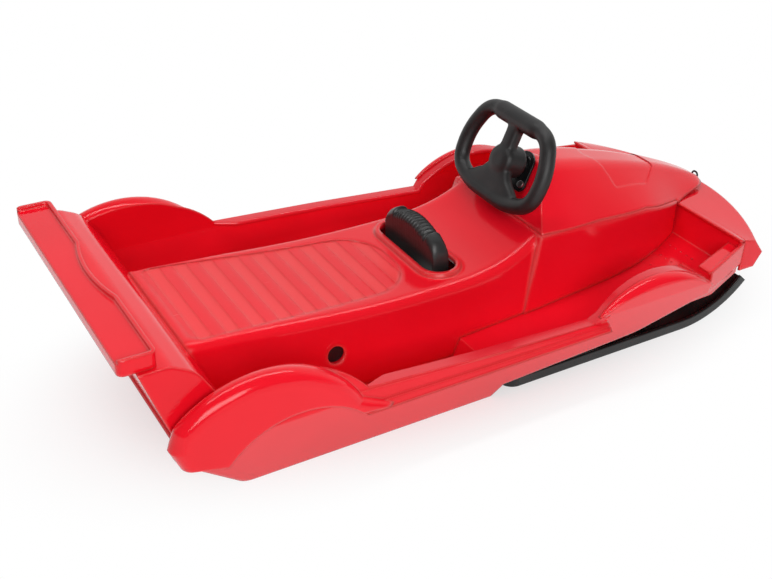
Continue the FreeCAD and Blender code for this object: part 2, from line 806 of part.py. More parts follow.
def treads():
    bars = []
    for index in range(TREAD_COUNT):
        x = TREAD_FIRST_X + index * TREAD_PITCH
        outline = [
            (x, floor_height(x) - WALL / 2),
            (x, floor_height(x) + TREAD_HEIGHT),
            (x + TREAD_WIDTH, floor_height(x + TREAD_WIDTH) + TREAD_HEIGHT),
            (x + TREAD_WIDTH, floor_height(x + TREAD_WIDTH) - WALL / 2),
        ]
        bars.append(prism_y(outline, TREAD_INNER_Y, TREAD_OUTER_Y))
    return bars


def kingpin_pad():
    return cylinder(FLOOR_PAD_R, PAD_TOP_Z - FLOOR_PAD_Z, V(KINGPIN_X, 0, FLOOR_PAD_Z))


def make_tub():
    pieces = []
    for left in [side_wall(), nose_flange(), rear_mudguard(), front_mudguard(), rail(), fin()] + treads():
        pieces.extend(both_sides(left))
    tub = floor_sheet().fuse([kingpin_pad()] + pieces)
    tub = tub.cut(cylinder(KING_BUSH_R + SEAT_GAP, PAD_TOP_Z, V(KINGPIN_X, 0, FLOOR_Z)))
    for x, y in bracket_bolt_places():
        tub = tub.cut(cylinder(BOLT_R + SCREW_CLEARANCE, PAD_TOP_Z, V(x, y, 0)))
    return tub.removeSplitter()


# Rear deck

def deck_outline(inset):
    """Side view of the deck, less an inset on all sides but the bottom."""
    low = FLOOR_Z - OVERRUN
    return [
        (BACK_FOOT_X - inset, low),
        (BACK_FOOT_X - inset, FLOOR_Z),
        (BACK_SEAT_X - inset, BACK_SEAT_Z),
        (BACK_MID_X - inset, BACK_MID_Z - inset / 2),
        (BACK_TOP_X - inset / 2, DECK_TOP_Z - inset),
        (DECK_REAR_X + inset, DECK_TOP_Z - inset),
        (FLOOR_TAIL_X + inset, FLOOR_TAIL_Z),
        (FLOOR_TAIL_X + inset, low),
    ]


def deck_block(inset):
    rounds = [0, 0, BACK_ROUND - inset, BACK_ROUND - inset, DECK_ROUND - inset, 0, 0, 0]
    block = prism_y(deck_outline(inset), -KNEE_HALF, KNEE_HALF, rounds)
    sides = [(wall_half(z, WALL + SEAT_GAP + inset), z) for z in (-OVERRUN, 0, DECK_SIDE_Z)]
    sides.append((DECK_TOP_HALF - inset, DECK_TOP_Z + OVERRUN))
    return block.common(prism_x(mirrored(sides), -REACH, REACH))


def make_rear_deck():
    deck = deck_block(0).cut(deck_block(WALL)).cut(below_floor())
    for x, y in tray_screw_places():
        deck = deck.cut(cylinder(SCREW_R + SCREW_CLEARANCE, OVERRUN, V(x, y, DECK_TOP_Z - OVERRUN / 2)))
    return deck


# Seat hump and cowl

def hump_wire(side, z):
    """Plan of the hump at z from the places along the cowl's left side."""
    left = [V(x, half, z) for x, half in side]
    right = [V(x, -half, z) for x, half in reversed(side)]
    edges = []
    for points in (left, right):
        curve = Part.BSplineCurve()
        curve.interpolate(points)
        edges.append(curve.toShape())
    rear_left = V(HUMP_REAR_X, side[0][1], z)
    rear_right = V(HUMP_REAR_X, -side[0][1], z)
    lines = [(left[-1], right[0]), (right[-1], rear_right), (rear_right, rear_left), (rear_left, left[0])]
    front, right_side, rear, left_side = [Part.LineSegment(start, end).toShape() for start, end in lines]
    return Part.Wire([edges[0], front, edges[1], right_side, rear, left_side])


def hump_plan(inset, top_half):
    """Loft between the hump's plans at the floor and at the crease, drawn on past both."""
    places = (CREASE_REAR_X,) + COWL_PLACES_X + (COWL_FRONT_X - inset,)
    foot_halves = (HUMP_FOOT_HALF,) + COWL_FOOT_HALVES + (COWL_FRONT_HALF,)
    crease_halves = (top_half,) + COWL_CREASE_HALVES + (COWL_FRONT_TOP_HALF,)
    wires = []
    for z in (-OVERRUN, HUMP_TOP_Z + OVERRUN):
        share = (z - FLOOR_Z) / (HUMP_TOP_Z - FLOOR_Z)
        side = []
        for x, low, high in zip(places, foot_halves, crease_halves):
            side.append((x, share_between(low, high, share) - inset))
        wires.append(hump_wire(side, z))
    return Part.makeLoft(wires, True, True)


def cowl_top_half(x):
    """Half width of the cowl at its crease."""
    places = (CREASE_REAR_X,) + COWL_PLACES_X + (COWL_FRONT_X,)
    halves = (COWL_TOP_HALF,) + COWL_CREASE_HALVES + (COWL_FRONT_TOP_HALF,)
    return on_line(list(zip(places, halves)), x)


def hump_profile(inset):
    """Solid under the seat, console and cowl line, right across the sled."""
    y = -HUMP_FOOT_HALF - OVERRUN
    seat = Part.BSplineCurve()
    seat.interpolate([
        V(HUMP_REAR_X, y, SEAT_REAR_Z - inset),
        V(SEAT_MID_X, y, SEAT_MID_Z - inset),
        V(SEAT_FRONT_X, y, SEAT_FRONT_Z - inset),
        V(SLOT_REAR_X, y, SLOT_SEAT_Z - inset),
        V(CONSOLE_X, y, CONSOLE_Z - inset),
        V(CREASE_REAR_X + inset, y, CREASE_REAR_Z - inset),
    ])
    rest = [
        V(CREASE_REAR_X + inset, y, CREASE_REAR_Z - inset),
        V(CREASE_MID_X, y, CREASE_MID_Z - inset),
        V(CREASE_TURN_X, y, CREASE_TURN_Z - inset),
        V(COWL_FRONT_X, y, CREASE_NOSE_Z - inset),
        V(COWL_FRONT_X, y, -OVERRUN),
        V(HUMP_REAR_X, y, -OVERRUN),
        V(HUMP_REAR_X, y, SEAT_REAR_Z - inset),
    ]
    edges = [seat.toShape()]
    for start, end in zip(rest, rest[1:]):
        edges.append(Part.LineSegment(start, end).toShape())
    return Part.Face(Part.Wire(edges)).extrude(LEFT * (-2 * y))


def ahead_of_facet(inset):
    """Everything in front of the slanted facet that the cowl starts with."""
    slope = (CREASE_REAR_X - FACET_FOOT_X) / (CREASE_REAR_Z - FACET_FOOT_Z)
    low = -OVERRUN
    high = DASH_TOP_Z
    outline = [
        (FACET_FOOT_X + inset + (low - FACET_FOOT_Z) * slope, low),
        (REACH, low),
        (REACH, high),
        (FACET_FOOT_X + inset + (high - FACET_FOOT_Z) * slope, high),
    ]
    return prism_y(outline, -HUMP_FOOT_HALF - OVERRUN, HUMP_FOOT_HALF + OVERRUN)


def hump(inset):
    """Hump and cowl as one block, with the seat's long edges rounded."""
    profile = hump_profile(inset)
    ahead = ahead_of_facet(inset)
    seat = hump_plan(inset, HUMP_TOP_HALF).common(profile).cut(ahead)
    cowl = hump_plan(inset, COWL_TOP_HALF).common(profile).common(ahead)
    seat_edges = []
    for edge in seat.Edges:
        box = edge.BoundBox
        if box.XLength > (CREASE_REAR_X - HUMP_REAR_X) / 2 and box.ZMin > SLOT_SEAT_Z - SEAT_ROUND:
            seat_edges.append(edge)
    seat = seat.makeFillet(SEAT_ROUND - inset, seat_edges)
    return seat.fuse(cowl)


def slot_outline(grow):
    return [
        (SLOT_REAR_X - grow, SLOT_HALF + grow),
        (SLOT_FRONT_X + grow, SLOT_HALF + grow),
        (SLOT_FRONT_X + grow, -SLOT_HALF - grow),
        (SLOT_REAR_X - grow, -SLOT_HALF - grow),
    ]


def slot_prism(grow, low, high):
    radius = (SLOT_FRONT_X - SLOT_REAR_X) / 2 + grow
    return prism_z(slot_outline(grow), low, high, radius - SEAT_GAP)


def panel_prism(rear_x, front_x, low, high):
    """Seat panel outline, or the part of it between two places along the sled."""
    outline = [
        (PANEL_REAR_X, PANEL_REAR_HALF),
        (PANEL_FRONT_X, PANEL_FRONT_HALF),
        (PANEL_FRONT_X, -PANEL_FRONT_HALF),
        (PANEL_REAR_X, -PANEL_REAR_HALF),
    ]
    panel = prism_z(outline, low, high, [PANEL_REAR_ROUND, PANEL_ROUND, PANEL_ROUND, PANEL_REAR_ROUND])
    band = Part.makeBox(
        front_x - rear_x, PANEL_REAR_HALF * 2, high - low, V(rear_x, -PANEL_REAR_HALF, low))
    return panel.common(band)


def cowl_bay():
    """Space under the hood, inside the flange that the hood rests on."""
    plan = [(x, cowl_top_half(x) - BAY_FLANGE) for x in (BAY_REAR_X,) + COWL_PLACES_X[:-1]]
    plan.append((COWL_FRONT_X + OVERRUN, BAY_FRONT_HALF))
    return prism_z(mirrored_plan(plan), FLOOR_PAD_Z + WALL, DASH_TOP_Z)


def axle_bore(radius):
    return cylinder(radius, HUMP_FOOT_HALF * 2, V(PIVOT_X, -HUMP_FOOT_HALF, PIVOT_Z), LEFT)


def axle_wall_half(inset=0.0):
    """Half width of the hump's outside at the height of the brake axle."""
    share = (PIVOT_Z - FLOOR_Z) / (HUMP_TOP_Z - FLOOR_Z)
    return share_between(HUMP_FOOT_HALF, HUMP_TOP_HALF, share) - inset


def make_seat_deck():
    outside = hump(0)
    inside = hump(WALL)
    shell = outside.cut(inside)
    lowered = outside.translated(V(0, 0, -PANEL_DEPTH))
    shell = shell.cut(panel_prism(PANEL_REAR_X, PANEL_FRONT_X, FLOOR_Z, DASH_TOP_Z).cut(lowered))
    pitch = (PANEL_FRONT_X - PANEL_REAR_X) / BAND_COUNT
    deeper = outside.translated(V(0, 0, -PANEL_DEPTH - BAND_DEPTH))
    for index in range(BAND_COUNT):
        rear_x = PANEL_REAR_X + (index + BAND_START_SHARE) * pitch
        band = panel_prism(rear_x, rear_x + pitch / 2, FLOOR_Z, DASH_TOP_Z)
        shell = shell.cut(band.cut(deeper))
    rim = slot_prism(SLOT_RIM, SLOT_SEAT_Z - SEAT_ROUND, SLOT_RIM_Z).cut(inside)
    shell = shell.fuse(rim).cut(slot_prism(0, FLOOR_Z, DASH_TOP_Z))
    shell = shell.cut(cowl_bay())
    boss = cylinder(
        PIVOT_BORE_R + PIVOT_BOSS_WALL,
        PIVOT_BOSS_LENGTH,
        V(PIVOT_X, axle_wall_half(WALL + PIVOT_BOSS_LENGTH - PIVOT_BOSS_WALL), PIVOT_Z),
        LEFT,
    )
    for side in both_sides(boss):
        shell = shell.fuse(side.common(outside))
    shell = shell.cut(axle_bore(PIVOT_BORE_R))
    for x, y in hood_screw_places():
        shell = shell.cut(cylinder(SCREW_R + SCREW_CLEARANCE, DASH_TOP_Z, V(x, y, 0)))
    return shell.cut(below_floor()).cut(deck_block(0)).removeSplitter()


# Brake

def handle_face_x(z):
    """Rear face of the brake handle, which leans back a little towards its top."""
    share = (z - HANDLE_BASE_Z) / (HANDLE_TOP_Z - HANDLE_BASE_Z)
    return HANDLE_REAR_X - HANDLE_LEAN * share


def brake_handle():
    shape = [
        V(0, HANDLE_HALF, HANDLE_BASE_Z),
        V(0, HANDLE_HALF, HANDLE_SHOULDER_Z),
        V(0, 0, HANDLE_TOP_Z),
        V(0, -HANDLE_HALF, HANDLE_SHOULDER_Z),
        V(0, -HANDLE_HALF, HANDLE_BASE_Z),
    ]
    crown = Part.Arc(shape[1], shape[2], shape[3]).toShape()
    sides = [Part.LineSegment(shape[0], shape[1]).toShape(), crown]
    sides.append(Part.LineSegment(shape[3], shape[4]).toShape())
    sides.append(Part.LineSegment(shape[4], shape[0]).toShape())
    block = Part.Face(Part.Wire(sides)).extrude(FORWARD * OVERRUN * 2)
    block.translate(V(HANDLE_REAR_X - OVERRUN, 0, 0))
    rear_low = handle_face_x(HANDLE_BASE_Z)
    rear_top = handle_face_x(HANDLE_TOP_Z + OVERRUN)
    faces = [
        (rear_low, HANDLE_BASE_Z),
        (rear_low + HANDLE_THICK, HANDLE_BASE_Z),
        (rear_top + HANDLE_THICK, HANDLE_TOP_Z + OVERRUN),
        (rear_top, HANDLE_TOP_Z + OVERRUN),
    ]
    lean = prism_y(faces, -HANDLE_HALF - OVERRUN, HANDLE_HALF + OVERRUN)
    block = block.makeFillet(HANDLE_CORNER, upright_corner_edges(block)).common(lean)
    top = []
    for edge in block.Edges:
        if edge.BoundBox.ZMax > HANDLE_SHOULDER_Z and edge.BoundBox.YLength > WALL:
            top.append(edge)
    block = block.makeFillet(HANDLE_ROUND, top)
    groove_gap = 2 * GRIP_SPAN_HALF / (GRIP_RIBS - 1)
    rise = HANDLE_TOP_Z - HANDLE_SHOULDER_Z
    crown_r = (HANDLE_HALF ** 2 + rise ** 2) / (2 * rise)
    for index in range(GRIP_RIBS):
        y = -GRIP_SPAN_HALF + index * groove_gap
        z = HANDLE_TOP_Z - crown_r + math.sqrt(crown_r ** 2 - y ** 2)
        start = V(handle_face_x(HANDLE_TOP_Z) - OVERRUN, y, z + GRIP_GROOVE_R / 2)
        block = block.cut(cylinder(GRIP_GROOVE_R, OVERRUN * 3, start, FORWARD))
    return block


def upright_corner_edges(block):
    """Edges along the sled at the two shoulders of the handle."""
    found = []
    for edge in block.Edges:
        box = edge.BoundBox
        if box.XLength > OVERRUN and abs(box.ZMax - HANDLE_SHOULDER_Z) < HANDLE_ROUND:
            found.append(edge)
    return found


def brake_arm():
    sleeve_r = AXLE_R + AXLE_FIT + SLEEVE_WALL
    outline = [
        (PIVOT_X, PIVOT_Z + sleeve_r - RIVET_HEAD),
        (HANDLE_REAR_X, HANDLE_BASE_Z + ARM_DEPTH),
        (HANDLE_REAR_X + HANDLE_THICK / 2, HANDLE_BASE_Z + ARM_DEPTH),
        (HANDLE_REAR_X + HANDLE_THICK / 2, HANDLE_BASE_Z),
        (HANDLE_REAR_X, HANDLE_BASE_Z),
        (PIVOT_X, PIVOT_Z - sleeve_r + RIVET_HEAD),
    ]
    front = prism_y(outline, ARM_OUTER - ARM_WIDTH, ARM_OUTER)
    tail = [
        (PIVOT_X, PIVOT_Z + sleeve_r - RIVET_HEAD),
        (PIVOT_X, PIVOT_Z - sleeve_r + RIVET_HEAD),
        (CLAW_X + ARM_DEPTH, CLAW_TOP_Z - CLAW_FOOT),
        (CLAW_X, CLAW_TOP_Z - CLAW_FOOT),
        (CLAW_X, CLAW_TOP_Z),
    ]
    return [front, prism_y(tail, ARM_OUTER - ARM_WIDTH, ARM_OUTER)]


def make_brake_lever():
    sleeve_r = AXLE_R + AXLE_FIT + SLEEVE_WALL
    sleeve = cylinder(sleeve_r, SLEEVE_HALF * 2, V(PIVOT_X, -SLEEVE_HALF, PIVOT_Z), LEFT)
    pieces = []
    for arm in brake_arm():
        pieces.extend(both_sides(arm))
    bridge = Part.makeBox(
        ARM_DEPTH, ARM_OUTER * 2, CLAW_FOOT, V(CLAW_X, -ARM_OUTER, CLAW_TOP_Z - CLAW_FOOT))
    lever = brake_handle().fuse([sleeve, bridge] + pieces)
    lever = lever.cut(axle_bore(AXLE_R + AXLE_FIT))
    for y in rivet_places():
        lever = lever.cut(rivet_hole(y))
    return lever.removeSplitter()


def rivet_places():
    return (-ARM_OUTER / 2, ARM_OUTER / 2)


def rivet_z():
    return CLAW_TOP_Z - CLAW_FOOT / 2


def rivet_hole(y):
    start = V(CLAW_X - OVERRUN, y, rivet_z())
    return cylinder(RIVET_R + AXLE_FIT, OVERRUN * 2, start, FORWARD)


def make_brake_claw():
    """Toothed plate on the back of the lever's tail."""
    pitch = ARM_OUTER * 2 / CLAW_TEETH
    outline = [(-ARM_OUTER, CLAW_TOP_Z)]
    for index in range(CLAW_TEETH):
        y = -ARM_OUTER + index * pitch
        outline += [(y, CLAW_TIP_Z + CLAW_TOOTH), (y + pitch / 2, CLAW_TIP_Z)]
    outline += [(ARM_OUTER, CLAW_TIP_Z + CLAW_TOOTH), (ARM_OUTER, CLAW_TOP_Z)]
    plate = prism_x(outline, CLAW_X - CLAW_THICK, CLAW_X)
    for y in rivet_places():
        plate = plate.cut(rivet_hole(y))
    return plate


def make_claw_rivets():
    rivets = []
    for y in rivet_places():
        rear = V(CLAW_X - CLAW_THICK, y, rivet_z())
        shank = cylinder(RIVET_R, CLAW_THICK + ARM_DEPTH, rear, FORWARD)
        heads = [cylinder(RIVET_HEAD_R, RIVET_HEAD, rear - FORWARD * RIVET_HEAD, FORWARD)]
        heads.append(cylinder(RIVET_HEAD_R, RIVET_HEAD, rear + FORWARD * (CLAW_THICK + ARM_DEPTH), FORWARD))
        rivets.append(shank.fuse(heads).removeSplitter())
    return Part.makeCompound(rivets)


def axle_half():
    return axle_wall_half(CAP_RECESS + CAP_DEPTH / 2)


def make_brake_axle():
    half = axle_half()
    return cylinder(AXLE_R, half * 2, V(PIVOT_X, -half, PIVOT_Z), LEFT)


def make_axle_caps():
    """Plugs that hold the axle's ends in the walls of the seat."""
    inner = axle_wall_half(CAP_RECESS + CAP_DEPTH)
    cap = cylinder(PIVOT_BORE_R - AXLE_FIT, CAP_DEPTH, V(PIVOT_X, inner, PIVOT_Z), LEFT)
    cap = cap.cut(cylinder(AXLE_R + AXLE_FIT, axle_half() - inner, V(PIVOT_X, inner, PIVOT_Z), LEFT))
    return Part.makeCompound(list(both_sides(cap)))


# Hood and bumper

def hood_line_points():
    """Line on which the hood rests: along the cowl and then just over the bumper."""
    return [
        (DASH_FOOT_X - OVERRUN, CREASE_REAR_Z),
        (CREASE_REAR_X, CREASE_REAR_Z),
        (CREASE_MID_X, CREASE_MID_Z),
        (CREASE_TURN_X, CREASE_TURN_Z),
        (COWL_FRONT_X, CREASE_NOSE_Z),
        (BUMPER_REAR_X, BUMPER_TOP_Z + SEAT_GAP),
        (BUMPER_BROW_X, BUMPER_BROW_Z + SEAT_GAP),
        (REACH, BUMPER_BROW_Z + SEAT_GAP),
    ]


def hood_line(x):
    """Height of the line where the hood rests on the cowl."""
    return on_line(hood_line_points(), x)


def hood_section(x, half, top, flat, inset):
    """Section across the hood: slanted flat sides that round over to a flat top."""
    crease = hood_line(x)
    side = (half - flat) / (top - crease)
    foot = half + side * HOOD_FOOT_DROP
    outline = [
        (foot - inset, crease - HOOD_FOOT_DROP),
        (flat - inset / 2, top - inset),
        (inset / 2 - flat, top - inset),
        (inset - foot, crease - HOOD_FOOT_DROP),
    ]
    end = inset if x == HOOD_STATIONS_X[-1] else 0
    points = [V(x - end, y, z) for y, z in outline]
    radius = (flat - inset) * HOOD_ROUND_SHARE
    return rounded_wire(points, [0, radius, radius, 0])


def hood_block(inset):
    """Hood as a full block, trimmed by the dash plane at its rear end."""
    wires = []
    for x, half, top, flat in zip(HOOD_STATIONS_X, HOOD_HALVES, HOOD_TOPS_Z, HOOD_FLATS):
        wires.append(hood_section(x, half, top, flat, inset))
    block = Part.makeLoft(wires, True, False)
    return block.common(ahead_of_dash(inset))


def below_hood():
    outline = hood_line_points() + [(REACH, -OVERRUN), (DASH_FOOT_X - OVERRUN, -OVERRUN)]
    return prism_y(outline, -HUMP_FOOT_HALF - OVERRUN, HUMP_FOOT_HALF + OVERRUN)


def hood_screw_places():
    places = []
    for x in BOSS_PLACES_X:
        half = cowl_top_half(x) - BOSS_INSET
        places += [(x, half), (x, -half)]
    return places


def hatch_prism():
    half = [
        (HATCH_REAR_X, HATCH_REAR_HALF),
        (HATCH_SIDE_X, HATCH_SIDE_HALF),
        (HATCH_FRONT_X, HATCH_FRONT_HALF),
    ]
    rounds = [0, HATCH_ROUND, HATCH_ROUND, HATCH_ROUND, HATCH_ROUND, 0, 0]
    return prism_z(mirrored_plan(half) + [(HATCH_POINT_X, 0)], CREASE_NOSE_Z, DASH_TOP_Z + OVERRUN, rounds)


def ahead_of_dash(inset):
    """Everything in front of the dash plane, less an inset."""
    low = CREASE_REAR_Z - OVERRUN
    high = DASH_TOP_Z + OVERRUN
    outline = [
        (DASH_FOOT_X + inset + (low - CREASE_REAR_Z) * dash_slope(), low),
        (REACH, low),
        (REACH, high),
        (DASH_FOOT_X + inset + (high - CREASE_REAR_Z) * dash_slope(), high),
    ]
    return prism_y(outline, -HUMP_FOOT_HALF - OVERRUN, HUMP_FOOT_HALF + OVERRUN)


def column_arch():
    """Tunnel over the column, which shows as an arch on the hood's rear edge."""
    start = dash_along() - OVERRUN
    tunnel = on_column(cylinder(BUSH_R + SEAT_GAP + WALL, ARCH_LENGTH + OVERRUN, V(0, 0, start)))
    return tunnel.common(ahead_of_dash(0))


def make_hood_cover():
    outside = hood_block(0)
    shell = outside.cut(hood_block(WALL)).fuse(column_arch())
    shell = shell.cut(hatch_prism().cut(outside.translated(V(0, 0, -HATCH_DEPTH))))
    bosses = []
    for x, y in hood_screw_places():
        boss = cylinder(BOSS_R, BOSS_HEIGHT, V(x, y, hood_line(x) - WALL))
        bosses.append(boss.common(outside))
    shell = shell.fuse(bosses)
    shell = shell.cut(below_hood()).cut(bumper_block(0))
    bore = cylinder(BUSH_R + SEAT_GAP, ARCH_LENGTH + OVERRUN, V(0, 0, dash_along() - OVERRUN))
    shell = shell.cut(on_column(bore))
    for base in bush_bolt_seats():
        start = base - dash_normal() * OVERRUN
        shell = shell.cut(cylinder(BOLT_R + SCREW_CLEARANCE, OVERRUN, start, dash_normal()))
    for x, y in hood_screw_places():
        shell = shell.cut(cylinder(SCREW_R + HUB_BORE_FIT, SCREW_GRIP, V(x, y, hood_line(x) - WALL)))
    return shell


def make_hood_screws():
    screws = []
    for x, y in hood_screw_places():
        under = hood_line(x) - WALL
        shank = cylinder(SCREW_R, SCREW_GRIP, V(x, y, under - SEAT_GAP))
        head = cylinder(SCREW_HEAD_R, SCREW_HEAD, V(x, y, under - SEAT_GAP - SCREW_HEAD))
        screws.append(shank.fuse(head).removeSplitter())
    return Part.makeCompound(screws)


def bumper_section(share, inset):
    """Section of the bumper at a share of its half width, as an (x, z) outline."""
    sweep = share * share
    brow = (share_between(BUMPER_BROW_X, END_BROW_X, sweep), share_between(BUMPER_BROW_Z, END_BROW_Z, sweep))
    tip = (share_between(BUMPER_TIP_X, END_TIP_X, sweep), share_between(BUMPER_TIP_Z, END_TIP_Z, sweep))
    keel = (share_between(BUMPER_KEEL_X, END_KEEL_X, sweep), share_between(BUMPER_KEEL_Z, END_KEEL_Z, sweep))
    if inset == 0:
        return [(BUMPER_REAR_X, keel[1]), (BUMPER_REAR_X, BUMPER_TOP_Z), brow, tip, keel]
    rear = BUMPER_REAR_X - OVERRUN
    low = keel[1] - OVERRUN
    return [
        (rear, low),
        (rear, BUMPER_TOP_Z - inset),
        (brow[0] - inset, brow[1] - inset),
        (tip[0] - inset * BUMPER_FRONT_SHARE, tip[1]),
        (keel[0] - inset * BUMPER_FRONT_SHARE, low),
    ]


def bumper_block(inset):
    wires = []
    for share in BUMPER_STATION_SHARES:
        outline = bumper_section(share, inset)
        y = share * (BUMPER_HALF - inset)
        points = [V(x, y, z) for x, z in outline]
        wires.append(Part.makePolygon(points + points[:1]))
    return Part.makeLoft(wires, True, False)


def make_bumper():
    shell = bumper_block(0).cut(bumper_block(WALL))
    behind = Part.makeBox(
        BUMPER_LAP,
        BUMPER_HALF * 2,
        FRONT_WALL_TOP_Z,
        V(BUMPER_REAR_X, -BUMPER_HALF, 0),
    )
    shell = shell.cut(behind)
    for y in (-TOW_HALF, TOW_HALF):
        shell = shell.cut(cylinder(TOW_WIRE_R + AXLE_FIT, DASH_TOP_Z, V(TOW_X, y, 0)))
    return shell


def tow_seat_z():
    """Underside of the bumper's top where the tow eye passes through."""
    share = (TOW_X - BUMPER_REAR_X) / (BUMPER_BROW_X - BUMPER_REAR_X)
    return share_between(BUMPER_TOP_Z, BUMPER_BROW_Z, share) - WALL


# Spoiler tray

def tray_screw_places():
    x = TRAY_REAR_X + TRAY_DEPTH - TRAY_RIM - SCREW_HEAD_R - TRAY_SCREW_GAP
    return [(x, y) for y in TRAY_SCREW_PLACES]


def scoop(grow):
    """Round cutter that hollows the tray's front edge."""
    radius = (SCOOP_HALF ** 2 + SCOOP_DEPTH ** 2) / (SCOOP_DEPTH + SCOOP_DEPTH)
    centre_x = TRAY_REAR_X + TRAY_DEPTH - SCOOP_DEPTH + radius
    return cylinder(radius + grow, TRAY_HEIGHT + OVERRUN, V(centre_x, 0, DECK_TOP_Z))


def tray_plan(inset, rear_inset):
    rear_x = TRAY_REAR_X + rear_inset
    front_x = TRAY_REAR_X + TRAY_DEPTH - inset
    half = TRAY_HALF - inset
    return [(rear_x, half), (front_x, half), (front_x, -half), (rear_x, -half)]


def make_spoiler():
    """Moulded shelf with a low lip in front and at its ends, open towards the rear."""
    top = DECK_TOP_Z + TRAY_HEIGHT
    floor = top - TRAY_LIP
    tray = prism_z(tray_plan(0, 0), DECK_TOP_Z, top, TRAY_ROUND).cut(scoop(0))
    pocket = prism_z(tray_plan(TRAY_RIM, -TRAY_ROUND), floor, top + OVERRUN, TRAY_ROUND - TRAY_RIM)
    under = prism_z(tray_plan(WALL, WALL), DECK_TOP_Z, floor - WALL, TRAY_ROUND - WALL)
    tray = tray.cut(pocket.cut(scoop(TRAY_RIM))).cut(under.cut(scoop(WALL)))
    for x, y in tray_screw_places():
        tray = tray.fuse(cylinder(BOSS_R, floor - WALL / 2 - DECK_TOP_Z, V(x, y, DECK_TOP_Z)))
    for x, y in tray_screw_places():
        tray = tray.cut(cylinder(SCREW_R + HUB_BORE_FIT, floor - WALL - DECK_TOP_Z, V(x, y, DECK_TOP_Z)))
    return tray.removeSplitter()


def make_spoiler_screws():
    screws = []
    for x, y in tray_screw_places():
        seat = DECK_TOP_Z - WALL - SEAT_GAP
        shank = cylinder(SCREW_R, SCREW_GRIP, V(x, y, seat))
        head = cylinder(SCREW_HEAD_R, SCREW_HEAD, V(x, y, seat - SCREW_HEAD))
        screws.append(shank.fuse(head).removeSplitter())
    return Part.makeCompound(screws)


# Steering column

def on_column(shape):
    """Move a shape from the column's own frame to its place on the sled."""
    return shape.transformed(COLUMN_FRAME)


def column_point(along, up=0.0):
    return COLUMN_FRAME.multVec(V(0, up, along))


def wheel_rim():
    """Round rim along straight runs and arcs."""
    points = [V(half, up, 0) for half, up in mirrored(list(zip(RIM_HALVES, RIM_UPS)))]
    path = rounded_wire(points, list(RIM_ROUNDS) + list(reversed(RIM_ROUNDS)))
    start = path.Edges[0].valueAt(path.Edges[0].FirstParameter)
    heading = path.Edges[0].tangentAt(path.Edges[0].FirstParameter)
    section = Part.Wire(Part.makeCircle(RIM_R, start, heading))
    return path.makePipeShell([section], True, False)


def wheel_slab(outline, thickness):
    """Flat bar of the wheel with rounded corners."""
    return prism_z(outline, -thickness / 2, thickness / 2, WHEEL_ROUND)


def make_steering_wheel():
    spoke = [(SPOKE_HALF_TOP, RIM_UPS[0]), (SPOKE_HALF_FOOT, BAR_TOP)]
    spoke = wheel_slab(mirrored(spoke), SPOKE_THICK)
    bar = [(BAR_TOP_HALF, BAR_TOP), (BAR_BOTTOM_HALF, BAR_BOTTOM)]
    bar = wheel_slab(mirrored(bar), BAR_THICK)
    hub = cylinder(HUB_R, HUB_FRONT - HUB_BACK, V(0, 0, HUB_BACK))
    wheel = wheel_rim().fuse([spoke, bar, hub])
    wheel = wheel.cut(cylinder(SHAFT_R + HUB_BORE_FIT, HUB_FRONT - HUB_BACK, V(0, 0, HUB_BACK + HUB_FACE)))
    return on_column(wheel)


def make_steering_shaft():
    """Round rod with a crank and a pin bent at its lower end."""
    points = [
        V(0, 0, HUB_BACK + HUB_FACE),
        V(0, 0, SHAFT_LENGTH),
        V(0, -CRANK_LENGTH, SHAFT_LENGTH),
        V(0, -CRANK_LENGTH, SHAFT_LENGTH + CRANK_PIN),
    ]
    return on_column(bent_rod(points, CRANK_BEND, SHAFT_R))


def dash_slope():
    return (DASH_TOP_X - DASH_FOOT_X) / (DASH_TOP_Z - CREASE_REAR_Z)


def dash_along():
    """Distance down the column at which its axis meets the dash."""
    gap = DASH_FOOT_X + (COLUMN_Z - CREASE_REAR_Z) * dash_slope() - COLUMN_X
    return gap / (math.cos(DIP) + math.sin(DIP) * dash_slope())


def dash_normal():
    """Direction square to the dash, towards the rider."""
    return V(-1, 0, dash_slope()).normalize()


def dash_down():
    """Direction down the dash."""
    return V(-dash_slope(), 0, -1).normalize()


def bush_bolt_seats():
    """Places on the dash under the two bolts of the bush's plate."""
    middle = column_point(dash_along()) + dash_down() * BUSH_BOLT_DROP
    return [middle + LEFT * BUSH_BOLT_Y, middle - LEFT * BUSH_BOLT_Y]


def bush_plate():
    """Plate of the bush that lies on the dash, round the column and down past the bolts."""
    entry = column_point(dash_along())
    low = entry + dash_down() * BUSH_PLATE_DROP
    points = [
        entry + LEFT * BUSH_FLANGE_R,
        low + LEFT * BUSH_PLATE_HALF,
        low - LEFT * BUSH_PLATE_HALF,
        entry - LEFT * BUSH_FLANGE_R,
    ]
    apron = Part.Face(rounded_wire(points, [0, BUSH_PLATE_ROUND, BUSH_PLATE_ROUND, 0]))
    apron = apron.extrude(dash_normal() * BUSH_FLANGE)
    return apron.fuse(cylinder(BUSH_FLANGE_R, BUSH_FLANGE, entry, dash_normal()))


def make_column_bush():
    """Sleeve that carries the shaft in the dash, with a plate bolted to the dash."""
    sleeve = on_column(cylinder(BUSH_R, BUSH_LENGTH, V(0, 0, dash_along() - BUSH_FLANGE)))
    bush = sleeve.fuse(bush_plate())
    bore = cylinder(SHAFT_R + BUSH_FIT, BUSH_LENGTH + OVERRUN * 2, V(0, 0, dash_along() - OVERRUN))
    bush = bush.cut(on_column(bore))
    for base in bush_bolt_seats():
        bush = bush.cut(cylinder(BOLT_R + SCREW_CLEARANCE, BUSH_FLANGE, base, dash_normal()))
    return bush.removeSplitter()


